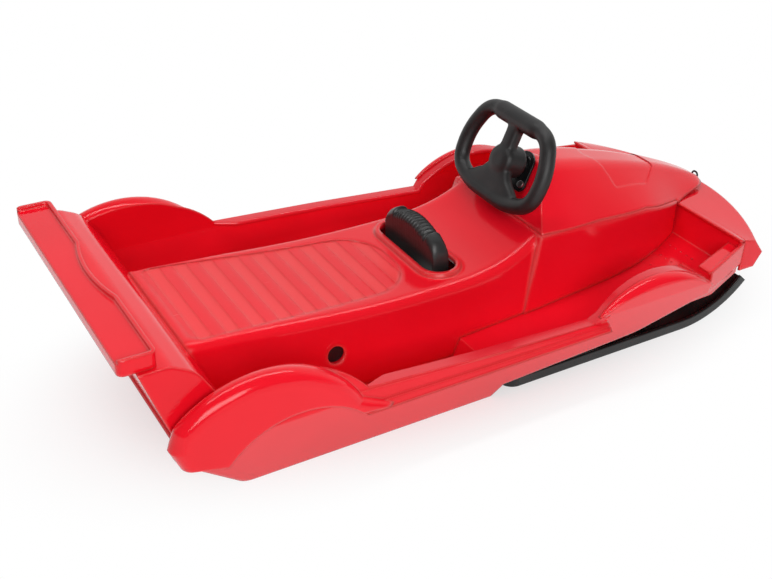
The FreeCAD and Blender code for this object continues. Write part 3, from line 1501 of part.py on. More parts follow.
def make_bush_bolts():
    bolts = []
    for base in bush_bolt_seats():
        seat = base + dash_normal() * BUSH_FLANGE
        shank = cylinder(BOLT_R, BOLT_GRIP, seat - dash_normal() * BOLT_GRIP, dash_normal())
        head = cylinder(BOLT_HEAD_R, BOLT_HEAD, seat, dash_normal())
        bolts.append(shank.fuse(head).removeSplitter())
    return Part.makeCompound(bolts)


def bracket_drop():
    """Length of the bracket's plate from the shaft down to the floor."""
    foot = floor_height(column_point(BRACKET_AT).x - BRACKET_FOOT) + BRACKET_FOOT_THICK
    return (column_point(BRACKET_AT).z - foot) / math.cos(DIP)


def bracket_foot_x():
    return column_point(BRACKET_AT, -bracket_drop()).x


def bracket_bolt_places():
    x = bracket_foot_x() - BRACKET_BOLT_BACK
    return [(x, BRACKET_BOLT_Y), (x, -BRACKET_BOLT_Y)]


def make_column_bracket():
    """Bearing plate across the shaft, on a foot that is bolted to the floor."""
    drop = bracket_drop() + BRACKET_FOOT_THICK * 2
    plate = Part.makeBox(BRACKET_HALF * 2, drop, BRACKET_THICK, V(-BRACKET_HALF, -drop, BRACKET_AT))
    plate = plate.fuse(cylinder(BRACKET_HALF, BRACKET_THICK, V(0, 0, BRACKET_AT)))
    plate = on_column(plate.cut(cylinder(SHAFT_R + BUSH_FIT, BRACKET_THICK, V(0, 0, BRACKET_AT))))
    x = bracket_foot_x()
    foot = [
        (x - BRACKET_FOOT / 2, floor_height(x - BRACKET_FOOT / 2)),
        (x - BRACKET_FOOT / 2, floor_height(x - BRACKET_FOOT / 2) + BRACKET_FOOT_THICK),
        (x + BRACKET_FOOT / 2, floor_height(x + BRACKET_FOOT / 2) + BRACKET_FOOT_THICK),
        (x + BRACKET_FOOT / 2, floor_height(x + BRACKET_FOOT / 2)),
    ]
    bracket = plate.fuse(prism_y(foot, -BRACKET_HALF, BRACKET_HALF)).cut(below_floor())
    for x, y in bracket_bolt_places():
        bracket = bracket.cut(cylinder(BOLT_R + SCREW_CLEARANCE, DASH_TOP_Z, V(x, y, 0)))
    return bracket.removeSplitter()


def make_bracket_bolts():
    bolts = []
    for x, y in bracket_bolt_places():
        seat = floor_height(x) + BRACKET_FOOT_THICK + SEAT_GAP
        shank = cylinder(BOLT_R, BOLT_GRIP, V(x, y, seat - BOLT_GRIP))
        head = cylinder(BOLT_HEAD_R, BOLT_HEAD, V(x, y, seat))
        bolts.append(shank.fuse(head).removeSplitter())
    return Part.makeCompound(bolts)


def make_shaft_collars():
    collars = []
    for start in (BRACKET_AT - RUN_GAP - COLLAR_WIDTH, BRACKET_AT + BRACKET_THICK + RUN_GAP):
        ring = cylinder(COLLAR_R, COLLAR_WIDTH, V(0, 0, start))
        collars.append(on_column(ring.cut(cylinder(SHAFT_R + HUB_BORE_FIT, COLLAR_WIDTH, V(0, 0, start)))))
    return Part.makeCompound(collars)


# Ski, kingpin and steering lever

def ski_curve(rise, y):
    """Side line of the ski as edges: flat, then bent up to the tip, raised by rise."""
    length = SKI_FRONT_X - SKI_BEND_X
    radius = (length ** 2 + SKI_TIP_Z ** 2) / (2 * SKI_TIP_Z) - rise
    angle = 2 * math.atan(SKI_TIP_Z / length)
    centre = V(SKI_BEND_X, y, rise + radius)
    start = V(SKI_REAR_X, y, rise)
    bend = V(SKI_BEND_X, y, rise)
    middle = centre + V(math.sin(angle / 2), 0, -math.cos(angle / 2)) * radius
    end = centre + V(math.sin(angle), 0, -math.cos(angle)) * radius
    return start, bend, middle, end


def ski_layer(low, high, y0, y1):
    """Solid between two raised side lines of the ski."""
    a = ski_curve(low, y0)
    b = ski_curve(high, y0)
    edges = [
        Part.LineSegment(a[0], a[1]).toShape(),
        Part.Arc(a[1], a[2], a[3]).toShape(),
        Part.LineSegment(a[3], b[3]).toShape(),
        Part.Arc(b[3], b[2], b[1]).toShape(),
        Part.LineSegment(b[1], b[0]).toShape(),
        Part.LineSegment(b[0], a[0]).toShape(),
    ]
    return Part.Face(Part.Wire(edges)).extrude(LEFT * (y1 - y0))


def ski_plan(inset):
    plan = [
        (SKI_REAR_X + inset, SKI_HALF - inset),
        (SKI_FRONT_X + OVERRUN - inset, SKI_HALF - inset),
        (SKI_FRONT_X + OVERRUN - inset, inset - SKI_HALF),
        (SKI_REAR_X + inset, inset - SKI_HALF),
    ]
    return prism_z(plan, -OVERRUN, DASH_TOP_Z, [SKI_TAIL_ROUND - inset, 0, 0, SKI_TAIL_ROUND - inset])


def make_ski():
    full = ski_layer(0, SKI_RIM_HEIGHT, -SKI_HALF, SKI_HALF).common(ski_plan(0))
    hollow = ski_layer(SKI_FLOOR, SKI_RIM_HEIGHT + OVERRUN / 2, -SKI_HALF, SKI_HALF).common(ski_plan(SKI_RIM))
    ski = full.cut(hollow)
    ribs = []
    for x in SKI_RIB_PLACES:
        corner = V(x, SKI_RIM / 2 - SKI_HALF, 0)
        ribs.append(Part.makeBox(SKI_RIB, SKI_HALF * 2 - SKI_RIM, SKI_RIB_HEIGHT, corner))
    for y in (-SKI_STRINGER_HALF, SKI_STRINGER_HALF):
        ribs.append(Part.makeBox(
            KINGPIN_X - SKI_REAR_X, SKI_RIB, SKI_RIB_HEIGHT, V(SKI_REAR_X + SKI_RIM / 2, y - SKI_RIB / 2, 0)))
    hub = cylinder(SKI_HUB_R, ski_hub_top(), V(KINGPIN_X, 0, 0))
    ski = ski.fuse(ribs + [hub])
    ski = ski.cut(cylinder(KINGPIN_R + HUB_BORE_FIT, DASH_TOP_Z, V(KINGPIN_X, 0, 0)))
    ski = ski.cut(cylinder(KINGPIN_HEAD_R + SEAT_GAP, KINGPIN_HEAD + RUN_GAP, V(KINGPIN_X, 0, 0)))
    return ski.removeSplitter()


def ski_hub_top():
    return FLOOR_PAD_Z - KING_BUSH_FLANGE - RUN_GAP


def lever_low():
    return PAD_TOP_Z + KING_BUSH_FLANGE + RUN_GAP


def make_kingpin():
    top = lever_low() + LEVER_THICK + WASHER + NUT_HEIGHT
    start = V(KINGPIN_X, 0, RUN_GAP)
    pin = cylinder(KINGPIN_R, top - RUN_GAP, start)
    return pin.fuse(cylinder(KINGPIN_HEAD_R, KINGPIN_HEAD, start)).removeSplitter()


def make_kingpin_bushes():
    """Flanged sleeves pushed into the pad from below and from above."""
    bushes = []
    middle = (FLOOR_PAD_Z + PAD_TOP_Z) / 2
    for face, height, way in ((FLOOR_PAD_Z, middle, -1), (PAD_TOP_Z, middle, 1)):
        low = min(face, height) + (SEAT_GAP if way > 0 else 0)
        sleeve = cylinder(KING_BUSH_R, abs(height - face) - SEAT_GAP, V(KINGPIN_X, 0, low))
        base = face if way > 0 else face - KING_BUSH_FLANGE
        flange = cylinder(KING_BUSH_FLANGE_R, KING_BUSH_FLANGE, V(KINGPIN_X, 0, base))
        bush = sleeve.fuse(flange)
        bush = bush.cut(cylinder(KINGPIN_R + KINGPIN_FIT, DASH_TOP_Z, V(KINGPIN_X, 0, 0)))
        bushes.append(bush.removeSplitter())
    return Part.makeCompound(bushes)


def make_steering_lever():
    """Arm on the kingpin whose fork takes the crank pin."""
    low = lever_low()
    fork_x = CRANK_PIN_MIDDLE.x - FORK_DEPTH / 2
    outer = FORK_GAP + FORK_WALL
    hub = cylinder(LEVER_R, LEVER_THICK, V(KINGPIN_X, 0, low))
    arm = [(fork_x, outer), (fork_x + FORK_DEPTH, outer), (KINGPIN_X, LEVER_HALF)]
    arm = prism_z(mirrored_plan(arm), low, low + LEVER_THICK)
    prongs = []
    for y in (-outer, FORK_GAP):
        height = CRANK_PIN_MIDDLE.z + FORK_UP - low
        prongs.append(Part.makeBox(FORK_DEPTH, FORK_WALL, height, V(fork_x, y, low)))
    lever = hub.fuse([arm] + prongs)
    lever = lever.cut(cylinder(KINGPIN_R + HUB_BORE_FIT, DASH_TOP_Z, V(KINGPIN_X, 0, 0)))
    return lever.removeSplitter()


def ring(outer, inner, height, low):
    return cylinder(outer, height, V(KINGPIN_X, 0, low)).cut(cylinder(inner, height, V(KINGPIN_X, 0, low)))


def make_kingpin_washer():
    return ring(WASHER_R, KINGPIN_R + HUB_BORE_FIT, WASHER, lever_low() + LEVER_THICK)


def make_kingpin_nut():
    low = lever_low() + LEVER_THICK + WASHER
    flats = []
    for index in range(NUT_FLATS):
        angle = (math.pi + math.pi) * index / NUT_FLATS
        flats.append((KINGPIN_X + NUT_R * math.cos(angle), NUT_R * math.sin(angle)))
    nut = prism_z(flats, low, low + NUT_HEIGHT)
    return nut.cut(cylinder(KINGPIN_R + HUB_BORE_FIT, NUT_HEIGHT, V(KINGPIN_X, 0, low)))


# Tow eye

def make_tow_eye():
    low = tow_seat_z() - TOW_LEG
    points = [
        V(TOW_X, TOW_HALF, low),
        V(TOW_X, TOW_HALF, TOW_TOP_Z),
        V(TOW_X, -TOW_HALF, TOW_TOP_Z),
        V(TOW_X, -TOW_HALF, low),
    ]
    return bent_rod(points, TOW_BEND, TOW_WIRE_R)


def make_tow_eye_nuts():
    nuts = []
    for y in (-TOW_HALF, TOW_HALF):
        low = tow_seat_z() - TOW_NUT - TOW_NUT_GAP
        nut = cylinder(TOW_NUT_R, TOW_NUT, V(TOW_X, y, low))
        nuts.append(nut.cut(cylinder(TOW_WIRE_R + HUB_BORE_FIT, TOW_NUT, V(TOW_X, y, low))))
    return Part.makeCompound(nuts)


PIECES = {
    "tub": make_tub,
    "rear_deck": make_rear_deck,
    "seat_deck": make_seat_deck,
    "hood_cover": make_hood_cover,
    "hood_screws": make_hood_screws,
    "front_bumper": make_bumper,
    "spoiler": make_spoiler,
    "spoiler_screws": make_spoiler_screws,
    "brake_lever": make_brake_lever,
    "brake_claw": make_brake_claw,
    "claw_rivets": make_claw_rivets,
    "brake_axle": make_brake_axle,
    "axle_caps": make_axle_caps,
    "steering_wheel": make_steering_wheel,
    "steering_shaft": make_steering_shaft,
    "column_bush": make_column_bush,
    "bush_bolts": make_bush_bolts,
    "column_bracket": make_column_bracket,
    "bracket_bolts": make_bracket_bolts,
    "shaft_collars": make_shaft_collars,
    "ski": make_ski,
    "kingpin": make_kingpin,
    "kingpin_bushes": make_kingpin_bushes,
    "steering_lever": make_steering_lever,
    "kingpin_washer": make_kingpin_washer,
    "kingpin_nut": make_kingpin_nut,
    "tow_eye": make_tow_eye,
    "tow_eye_nuts": make_tow_eye_nuts,
}

os.makedirs("parts", exist_ok=True)
for name, make in PIECES.items():
    piece = make()
    piece.exportStep("parts/" + name + ".step")
    volume = round(piece.Volume * CM3_PER_MM3_SHARE, 1)
    print(name, len(piece.Solids), "solids", volume, "cm3", piece.isValid())
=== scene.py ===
"""Finishes, small moulded details, light and camera for the steering sled."""

import json
import math

import bmesh
import bpy
from bpy.props import FloatProperty, FloatVectorProperty, IntProperty, PointerProperty
from mathutils import Matrix, Vector


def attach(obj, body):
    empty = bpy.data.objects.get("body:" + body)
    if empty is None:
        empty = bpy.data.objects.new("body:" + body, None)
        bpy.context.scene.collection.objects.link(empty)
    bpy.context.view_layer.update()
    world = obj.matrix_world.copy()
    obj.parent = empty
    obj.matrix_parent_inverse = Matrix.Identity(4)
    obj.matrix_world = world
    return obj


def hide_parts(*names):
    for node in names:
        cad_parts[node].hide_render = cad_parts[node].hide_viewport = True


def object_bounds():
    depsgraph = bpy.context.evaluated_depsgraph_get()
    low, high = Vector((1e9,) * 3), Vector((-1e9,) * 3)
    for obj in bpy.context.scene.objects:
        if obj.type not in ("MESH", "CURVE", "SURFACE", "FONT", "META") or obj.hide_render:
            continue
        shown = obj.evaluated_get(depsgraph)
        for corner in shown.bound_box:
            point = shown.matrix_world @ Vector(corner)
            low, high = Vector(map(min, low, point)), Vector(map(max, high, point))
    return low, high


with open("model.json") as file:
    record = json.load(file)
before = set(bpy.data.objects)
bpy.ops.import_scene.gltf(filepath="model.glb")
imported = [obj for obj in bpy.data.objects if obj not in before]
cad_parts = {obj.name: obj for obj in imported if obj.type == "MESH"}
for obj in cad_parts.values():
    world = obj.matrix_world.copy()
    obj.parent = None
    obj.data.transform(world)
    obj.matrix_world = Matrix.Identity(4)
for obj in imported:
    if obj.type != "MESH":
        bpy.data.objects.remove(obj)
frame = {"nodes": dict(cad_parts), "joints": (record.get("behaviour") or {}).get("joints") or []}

bl_info = {
    "name": "Steering sled finishes",
    "version": (1, 0, 0),
    "blender": (4, 5, 0),
    "location": "3D View > Sidebar > Sled",
    "description": "Gives the steering sled its plastics, its moulded details, its light and its camera",
    "category": "Object",
}

CAD_BOX = [list(corner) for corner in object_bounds()]
RED_NODES = ("tub", "rear_deck", "hood_cover", "front_bumper", "spoiler")
BLACK_NODES = (
    "brake_lever", "axle_caps", "column_bush", "column_bracket", "kingpin_bushes", "steering_lever",
    "tow_eye",
)
STEEL_NODES = (
    "hood_screws", "spoiler_screws", "brake_claw", "claw_rivets", "brake_axle", "steering_shaft",
    "bush_bolts", "bracket_bolts", "shaft_collars", "kingpin", "kingpin_washer", "kingpin_nut",
    "tow_eye_nuts",
)
SIDES = (-1, 1)


# Shader sockets

NOISE_ROUGHNESS = 0.55
MIX_FIRST = 6
MIX_SECOND = 7
MIX_COLOUR = 2


class Socket:
    """A socket of a node tree that takes part in sums, products and comparisons."""

    def __init__(self, tree, socket):
        self.tree = tree
        self.socket = socket

    def output(self, key):
        """Another output of the same node."""
        return Socket(self.tree, self.socket.node.outputs[key])

    def maths(self, operation, *others):
        """Math node on this socket and the others."""
        inputs = dict(enumerate((self,) + others))
        return self.tree.node("ShaderNodeMath", {"operation": operation}, inputs)

    def __add__(self, other):
        return self.maths("ADD", other)

    def __radd__(self, other):
        return self.maths("ADD", other)

    def __sub__(self, other):
        return self.maths("SUBTRACT", other)

    def __rsub__(self, other):
        return self.tree.node("ShaderNodeMath", {"operation": "SUBTRACT"}, {0: other, 1: self})

    def __mul__(self, other):
        return self.maths("MULTIPLY", other)

    def __rmul__(self, other):
        return self.maths("MULTIPLY", other)

    def __truediv__(self, other):
        return self.maths("DIVIDE", other)

    def __abs__(self):
        return self.maths("ABSOLUTE")

    def __gt__(self, other):
        return self.maths("GREATER_THAN", other)

    def __lt__(self, other):
        return self.maths("LESS_THAN", other)


class Tree:
    """A node tree that is filled through one method."""

    def __init__(self, tree):
        self.tree = tree
        self.tree.nodes.clear()

    def node(self, kind, settings=None, inputs=None, output=0):
        """Add a node, give it its settings and then its socket values or links."""
        made = self.tree.nodes.new(kind)
        for name, value in (settings or {}).items():
            setattr(made, name, value)
        for key, value in (inputs or {}).items():
            target = made.inputs[key]
            if isinstance(value, Socket):
                self.tree.links.new(value.socket, target)
            else:
                target.default_value = value
        if not made.outputs:
            return None
        return Socket(self, made.outputs[output])

    def split(self, vector):
        """The three parts of a vector."""
        parts = self.node("ShaderNodeSeparateXYZ", {}, {0: vector})
        return [parts.output(axis) for axis in range(3)]

    def noise(self, place, scale, detail):
        """Cloudy value over a place."""
        inputs = {"Vector": place, "Scale": scale, "Detail": detail, "Roughness": NOISE_ROUGHNESS}
        return self.node("ShaderNodeTexNoise", {}, inputs)

    def stretched(self, place, scales):
        """Place with its own scale along each axis."""
        return self.node("ShaderNodeMapping", {}, {"Vector": place, "Scale": scales})

    def ramp(self, factor, low, high):
        """Value that eases from 0 to 1 while the factor goes from low to high."""
        settings = {"clamp": True, "interpolation_type": "SMOOTHSTEP"}
        return self.node("ShaderNodeMapRange", settings, {0: factor, 1: low, 2: high})

    def ramp_line(self, factor, low, high):
        """Value that goes straight from 0 to 1 while the factor goes from low to high."""
        return self.node("ShaderNodeMapRange", {"clamp": True}, {0: factor, 1: low, 2: high})

    def blend(self, factor, first, second):
        """Colour between two colours."""
        inputs = {0: factor, MIX_FIRST: first, MIX_SECOND: second}
        return self.node("ShaderNodeMix", {"data_type": "RGBA"}, inputs, output=MIX_COLOUR)


# Finishes

BEVEL_SAMPLES = 12
EDGE_LIMITS = (0.01, 0.25)
GRAIN_DEPTH = 0.0004
VIEWPORT_COLOUR = (0.5, 0.5, 0.5, 1.0)


def colour4(colour, shade=1.0):
    """Opaque colour, shaded by a factor."""
    return tuple(part * shade for part in colour) + (1.0,)


def new_material(name):
    """Material with an empty node tree."""
    material = bpy.data.materials.new(name)
    material.use_nodes = True
    return material, Tree(material.node_tree)


def finish_material(material, tree, sockets):
    """Close a material with one principled shader."""
    shader = tree.node("ShaderNodeBsdfPrincipled", {}, sockets)
    tree.node("ShaderNodeOutputMaterial", {}, {"Surface": shader})
    material.diffuse_color = VIEWPORT_COLOUR
    return material


def object_place(tree):
    """Place on the object, in metres."""
    return tree.node("ShaderNodeTexCoord", output="Object")


def soft_edges(tree, radius):
    """Normal that rounds the sharp edges of a moulding, with a mask of where it does so."""
    rounded = tree.node("ShaderNodeBevel", {"samples": BEVEL_SAMPLES}, {"Radius": radius})
    flat = tree.node("ShaderNodeNewGeometry", output="Normal")
    dot = {"operation": "DOT_PRODUCT"}
    along = tree.node("ShaderNodeVectorMath", dot, {0: rounded, 1: flat}, output="Value")
    return rounded, tree.ramp(1 - along, *EDGE_LIMITS)


def bumped(tree, height, strength, distance, normal):
    """Normal with a height on top of it."""
    inputs = {"Height": height, "Strength": strength, "Distance": distance, "Normal": normal}
    return tree.node("ShaderNodeBump", {}, inputs)


# Red plastic: scales of its marks, and how much each of them shows
FLOW_SCALE = 5.0
FLOW_LIMITS = (0.35, 0.7)
SMUDGE_SCALE = 23.0
SMUDGE_DULLING = 0.05
PEEL_SCALE = 620.0
PEEL_HEIGHT = 0.25
SCRATCH_STRETCH = (30.0, 420.0, 420.0)
SCRATCH_LIMITS = (0.66, 0.74)
SCRATCH_DULLING = 0.05
SCRATCH_DEPTH = 0.20
# Share of paler red along every edge, which is a painted highlight, and the extra roughness there
EDGE_HIGHLIGHT_PALING = 0.5
RED_EDGE_DULLING = 0.03
RED_BUMP = 0.3
RED_IOR = 1.38

# Seat panel with its bands
SEAT_EDGE_SHARE = 1.8
PANEL_PALING = 0.02
PANEL_DULLING = 0.14
PANEL_EDGE = 0.002
BAND_PALING = 0.22
BAND_DULLING = 0.10
BAND_PHASE = 0.25
BAND_EDGE = 0.15
BAND_GRAIN_SCALE = 900.0


def red_plastic(name, finish, panel=False):
    """Glossy injection-moulded plastic with flow marks, fine scratches and a painted highlight of paler red
    along its edges.
    """
    material, tree = new_material(name)
    place = object_place(tree)
    pale_red = colour4(finish.red_pale)
    rounded, edge = soft_edges(tree, finish.edge_round * (SEAT_EDGE_SHARE if panel else 1.0))
    flow = tree.noise(place, FLOW_SCALE, detail=2.0)
    smudge = tree.noise(place, SMUDGE_SCALE, detail=4.0)
    peel = tree.noise(place, PEEL_SCALE, detail=2.0)
    lines = tree.noise(tree.stretched(place, SCRATCH_STRETCH), scale=1.0, detail=3.0)
    scratch = tree.ramp(lines, *SCRATCH_LIMITS)
    base = tree.blend(tree.ramp(flow, *FLOW_LIMITS), colour4(finish.red_deep), colour4(finish.red))
    # Painted highlight: paler red along every edge
    base = tree.blend(edge * EDGE_HIGHLIGHT_PALING, base, pale_red)
    rough = finish.red_roughness + smudge * SMUDGE_DULLING + edge * RED_EDGE_DULLING
    rough = rough + scratch * SCRATCH_DULLING
    height = peel * PEEL_HEIGHT - scratch * SCRATCH_DEPTH
    if panel:
        inside, band, grain = seat_bands(tree, place, finish)
        base = tree.blend(inside * PANEL_PALING + band * BAND_PALING, base, pale_red)
        rough = rough + inside * PANEL_DULLING + band * BAND_DULLING
        height = height + band * grain
    normal = bumped(tree, height, RED_BUMP, GRAIN_DEPTH, rounded)
    sockets = {"Base Color": base, "Roughness": rough, "Normal": normal, "IOR": RED_IOR}
    return finish_material(material, tree, sockets)


def seat_bands(tree, place, finish):
    """Masks of the seat panel and of its grained cross bands, and their grain."""
    x, y, z = tree.split(place)
    length = finish.panel_front - finish.panel_rear
    pitch = length / finish.panel_bands
    turn = ((x - finish.panel_rear) / pitch - BAND_PHASE) * (2 * math.pi)
    stripe = tree.ramp(turn.maths("SINE"), -BAND_EDGE, BAND_EDGE)
    straight = finish.panel_half - (x - finish.panel_rear) * finish.panel_taper
    front_half = finish.panel_half - length * finish.panel_taper
    bend = tree.ramp_line(x, finish.panel_front - finish.panel_round, finish.panel_front)
    arc = (1 - bend * bend).maths("SQRT") * finish.panel_round + (front_half - finish.panel_round)
    half = straight.maths("MINIMUM", arc + (1 - (bend > 0)) * finish.panel_half)
    inside = tree.ramp(half - abs(y), 0.0, PANEL_EDGE)
    ends = (x > finish.panel_rear) * (x < finish.panel_front)
    inside = inside * ends * (z > finish.panel_low)
    grain = tree.noise(place, BAND_GRAIN_SCALE, detail=2.0)
    return inside, stripe * inside, grain


# Soft black of the wheel
SOFT_EDGE_SHARE = 0.7
PEBBLE_SCALE = 520.0
PEBBLE_BUMP = 0.25
DUST_SCALE = 30.0
DUST_LIMITS = (0.4, 0.75)
DUST_DULLING = 0.16
SOFT_ROUGHNESS = 0.40
SOFT_EDGE_POLISH = 0.08
SOFT_IOR = 1.48


def soft_black(name, finish):
    """Soft-touch moulding with a fine pebble."""
    material, tree = new_material(name)
    place = object_place(tree)
    rounded, edge = soft_edges(tree, finish.edge_round * SOFT_EDGE_SHARE)
    pebble = tree.node("ShaderNodeTexVoronoi", {}, {"Vector": place, "Scale": PEBBLE_SCALE})
    dust = tree.noise(place, DUST_SCALE, detail=4.0)
    dusty = tree.ramp(dust, *DUST_LIMITS)
    base = tree.blend(dusty, colour4(finish.soft_black), colour4(finish.soft_black_dusty))
    rough = SOFT_ROUGHNESS + dust * DUST_DULLING - edge * SOFT_EDGE_POLISH
    normal = bumped(tree, pebble, PEBBLE_BUMP, GRAIN_DEPTH, rounded)
    sockets = {"Base Color": base, "Roughness": rough, "Normal": normal, "IOR": SOFT_IOR}
    return finish_material(material, tree, sockets)


# Satin black of the brake, the ski and the small parts
BLACK_EDGE_SHARE = 0.6
BLACK_EDGE_DULLING = 0.05
BLACK_GRAIN_SCALE = 700.0
BLACK_GRAIN_BUMP = 0.3
BLACK_CLOUD_SCALE = 18.0
BLACK_CLOUD_LIMITS = (0.35, 0.8)
BLACK_CLOUD_SHADE = 1.8
BLACK_CLOUD_DULLING = 0.12
BLACK_ROUGHNESS = 0.20
BLACK_IOR = 1.42


def black_plastic(name, finish, colour):
    """Satin black plastic with a fine spark-eroded grain."""
    material, tree = new_material(name)
    place = object_place(tree)
    rounded, edge = soft_edges(tree, finish.edge_round * BLACK_EDGE_SHARE)
    grain = tree.noise(place, BLACK_GRAIN_SCALE, detail=2.0)
    cloud = tree.noise(place, BLACK_CLOUD_SCALE, detail=4.0)
    cloudy = tree.ramp(cloud, *BLACK_CLOUD_LIMITS)
    base = tree.blend(cloudy, colour4(colour), colour4(colour, BLACK_CLOUD_SHADE))
    rough = BLACK_ROUGHNESS + cloud * BLACK_CLOUD_DULLING + edge * BLACK_EDGE_DULLING
    normal = bumped(tree, grain, BLACK_GRAIN_BUMP, GRAIN_DEPTH, rounded)
    sockets = {"Base Color": base, "Roughness": rough, "Normal": normal, "IOR": BLACK_IOR}
    return finish_material(material, tree, sockets)


# Plated steel
STEEL_EDGE_SHARE = 0.25
STEEL_EDGE_LIFT = 0.1
STEEL_LINE_STRETCH = (1.0, 1.0, 14.0)
STEEL_LINE_SCALE = 260.0
STEEL_LINE_DULLING = 0.16
STEEL_LINE_BUMP = 0.15
STEEL_LINE_DEPTH = 0.0003
STEEL_CLOUD_SCALE = 60.0
STEEL_CLOUD_SHADE = 0.8
STEEL_ROUGHNESS = 0.24


def zinc_steel(name, finish):
    """Zinc-plated steel with fine drawing lines and a cloudy sheen."""
    material, tree = new_material(name)
    place = object_place(tree)
    rounded, edge = soft_edges(tree, finish.edge_round * STEEL_EDGE_SHARE)
    lines = tree.noise(tree.stretched(place, STEEL_LINE_STRETCH), STEEL_LINE_SCALE, detail=3.0)
    cloud = tree.noise(place, STEEL_CLOUD_SCALE, detail=3.0)
    base = tree.blend(cloud, colour4(finish.steel), colour4(finish.steel, STEEL_CLOUD_SHADE))
    rough = STEEL_ROUGHNESS + lines * STEEL_LINE_DULLING
    height = lines + edge * STEEL_EDGE_LIFT
    normal = bumped(tree, height, STEEL_LINE_BUMP, STEEL_LINE_DEPTH, rounded)
    sockets = {"Base Color": base, "Roughness": rough, "Normal": normal, "Metallic": 1.0}
    return finish_material(material, tree, sockets)


def paint_node(node, material):
    """Give a CAD node a material in all of its slots."""
    target = frame["nodes"][node]
    if not target.material_slots:
        target.data.materials.append(material)
    for place in target.material_slots:
        place.material = material


def packed_material(slot):
    """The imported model's own plain material of a slot, not the finish that this file makes."""
    return bpy.data.materials[slot]


# Settings

class SledFinish(bpy.types.PropertyGroup):
    """Colours and grain of the sled's materials."""

    red: FloatVectorProperty(
        name="Red", description="Colour of the red mouldings", subtype="COLOR", size=3,
        default=(0.84, 0.006, 0.019))
    red_deep: FloatVectorProperty(
        name="Deep red", description="Colour of the flow marks in the red plastic", subtype="COLOR", size=3,
        default=(0.78, 0.005, 0.015))
    # Paler red used for the painted edge highlight and for the pale seat bands
    red_pale: FloatVectorProperty(
        name="Pale red", description="Paler red of the painted edge highlight and the seat bands", subtype="COLOR", size=3,
        default=(0.92, 0.13, 0.12))
    red_roughness: FloatProperty(
        name="Red roughness", description="Roughness of clean red plastic", subtype="FACTOR", default=0.075)
    soft_black: FloatVectorProperty(
        name="Soft black", description="Colour of the wheel", subtype="COLOR", size=3,
        default=(0.0075, 0.007, 0.007))
    soft_black_dusty: FloatVectorProperty(
        name="Dusty black", description="Paler patches on the wheel", subtype="COLOR", size=3,
        default=(0.017, 0.015, 0.0155))
    black: FloatVectorProperty(
        name="Black", description="Colour of the brake and small parts", subtype="COLOR", size=3,
        default=(0.008, 0.008, 0.0085))
    ski: FloatVectorProperty(
        name="Ski", description="Colour of the ski", subtype="COLOR", size=3,
        default=(0.012, 0.0125, 0.0125))
    steel: FloatVectorProperty(
        name="Steel", description="Colour of the plated steel", subtype="COLOR", size=3,
        default=(0.62, 0.62, 0.63))
    edge_round: FloatProperty(
        name="Edge round", description="Radius at which sharp edges are shown", unit="LENGTH", default=0.006)
    panel_rear: FloatProperty(
        name="Panel rear", description="Rear end of the seat panel", unit="LENGTH", default=-0.436)
    panel_front: FloatProperty(
        name="Panel front", description="Front end of the seat panel", unit="LENGTH", default=-0.086)
    panel_half: FloatProperty(
        name="Panel half width", description="Half width at the rear end", unit="LENGTH", default=0.100)
    panel_taper: FloatProperty(
        name="Panel taper", description="Half width lost for each unit of length", default=0.0571)
    panel_round: FloatProperty(
        name="Panel round", description="Radius of the panel's front corners", unit="LENGTH", default=0.070)
    panel_low: FloatProperty(
        name="Panel low", description="Height above which the panel lies", unit="LENGTH", default=0.13)
    panel_bands: IntProperty(name="Panel bands", description="Number of grained bands", default=9)


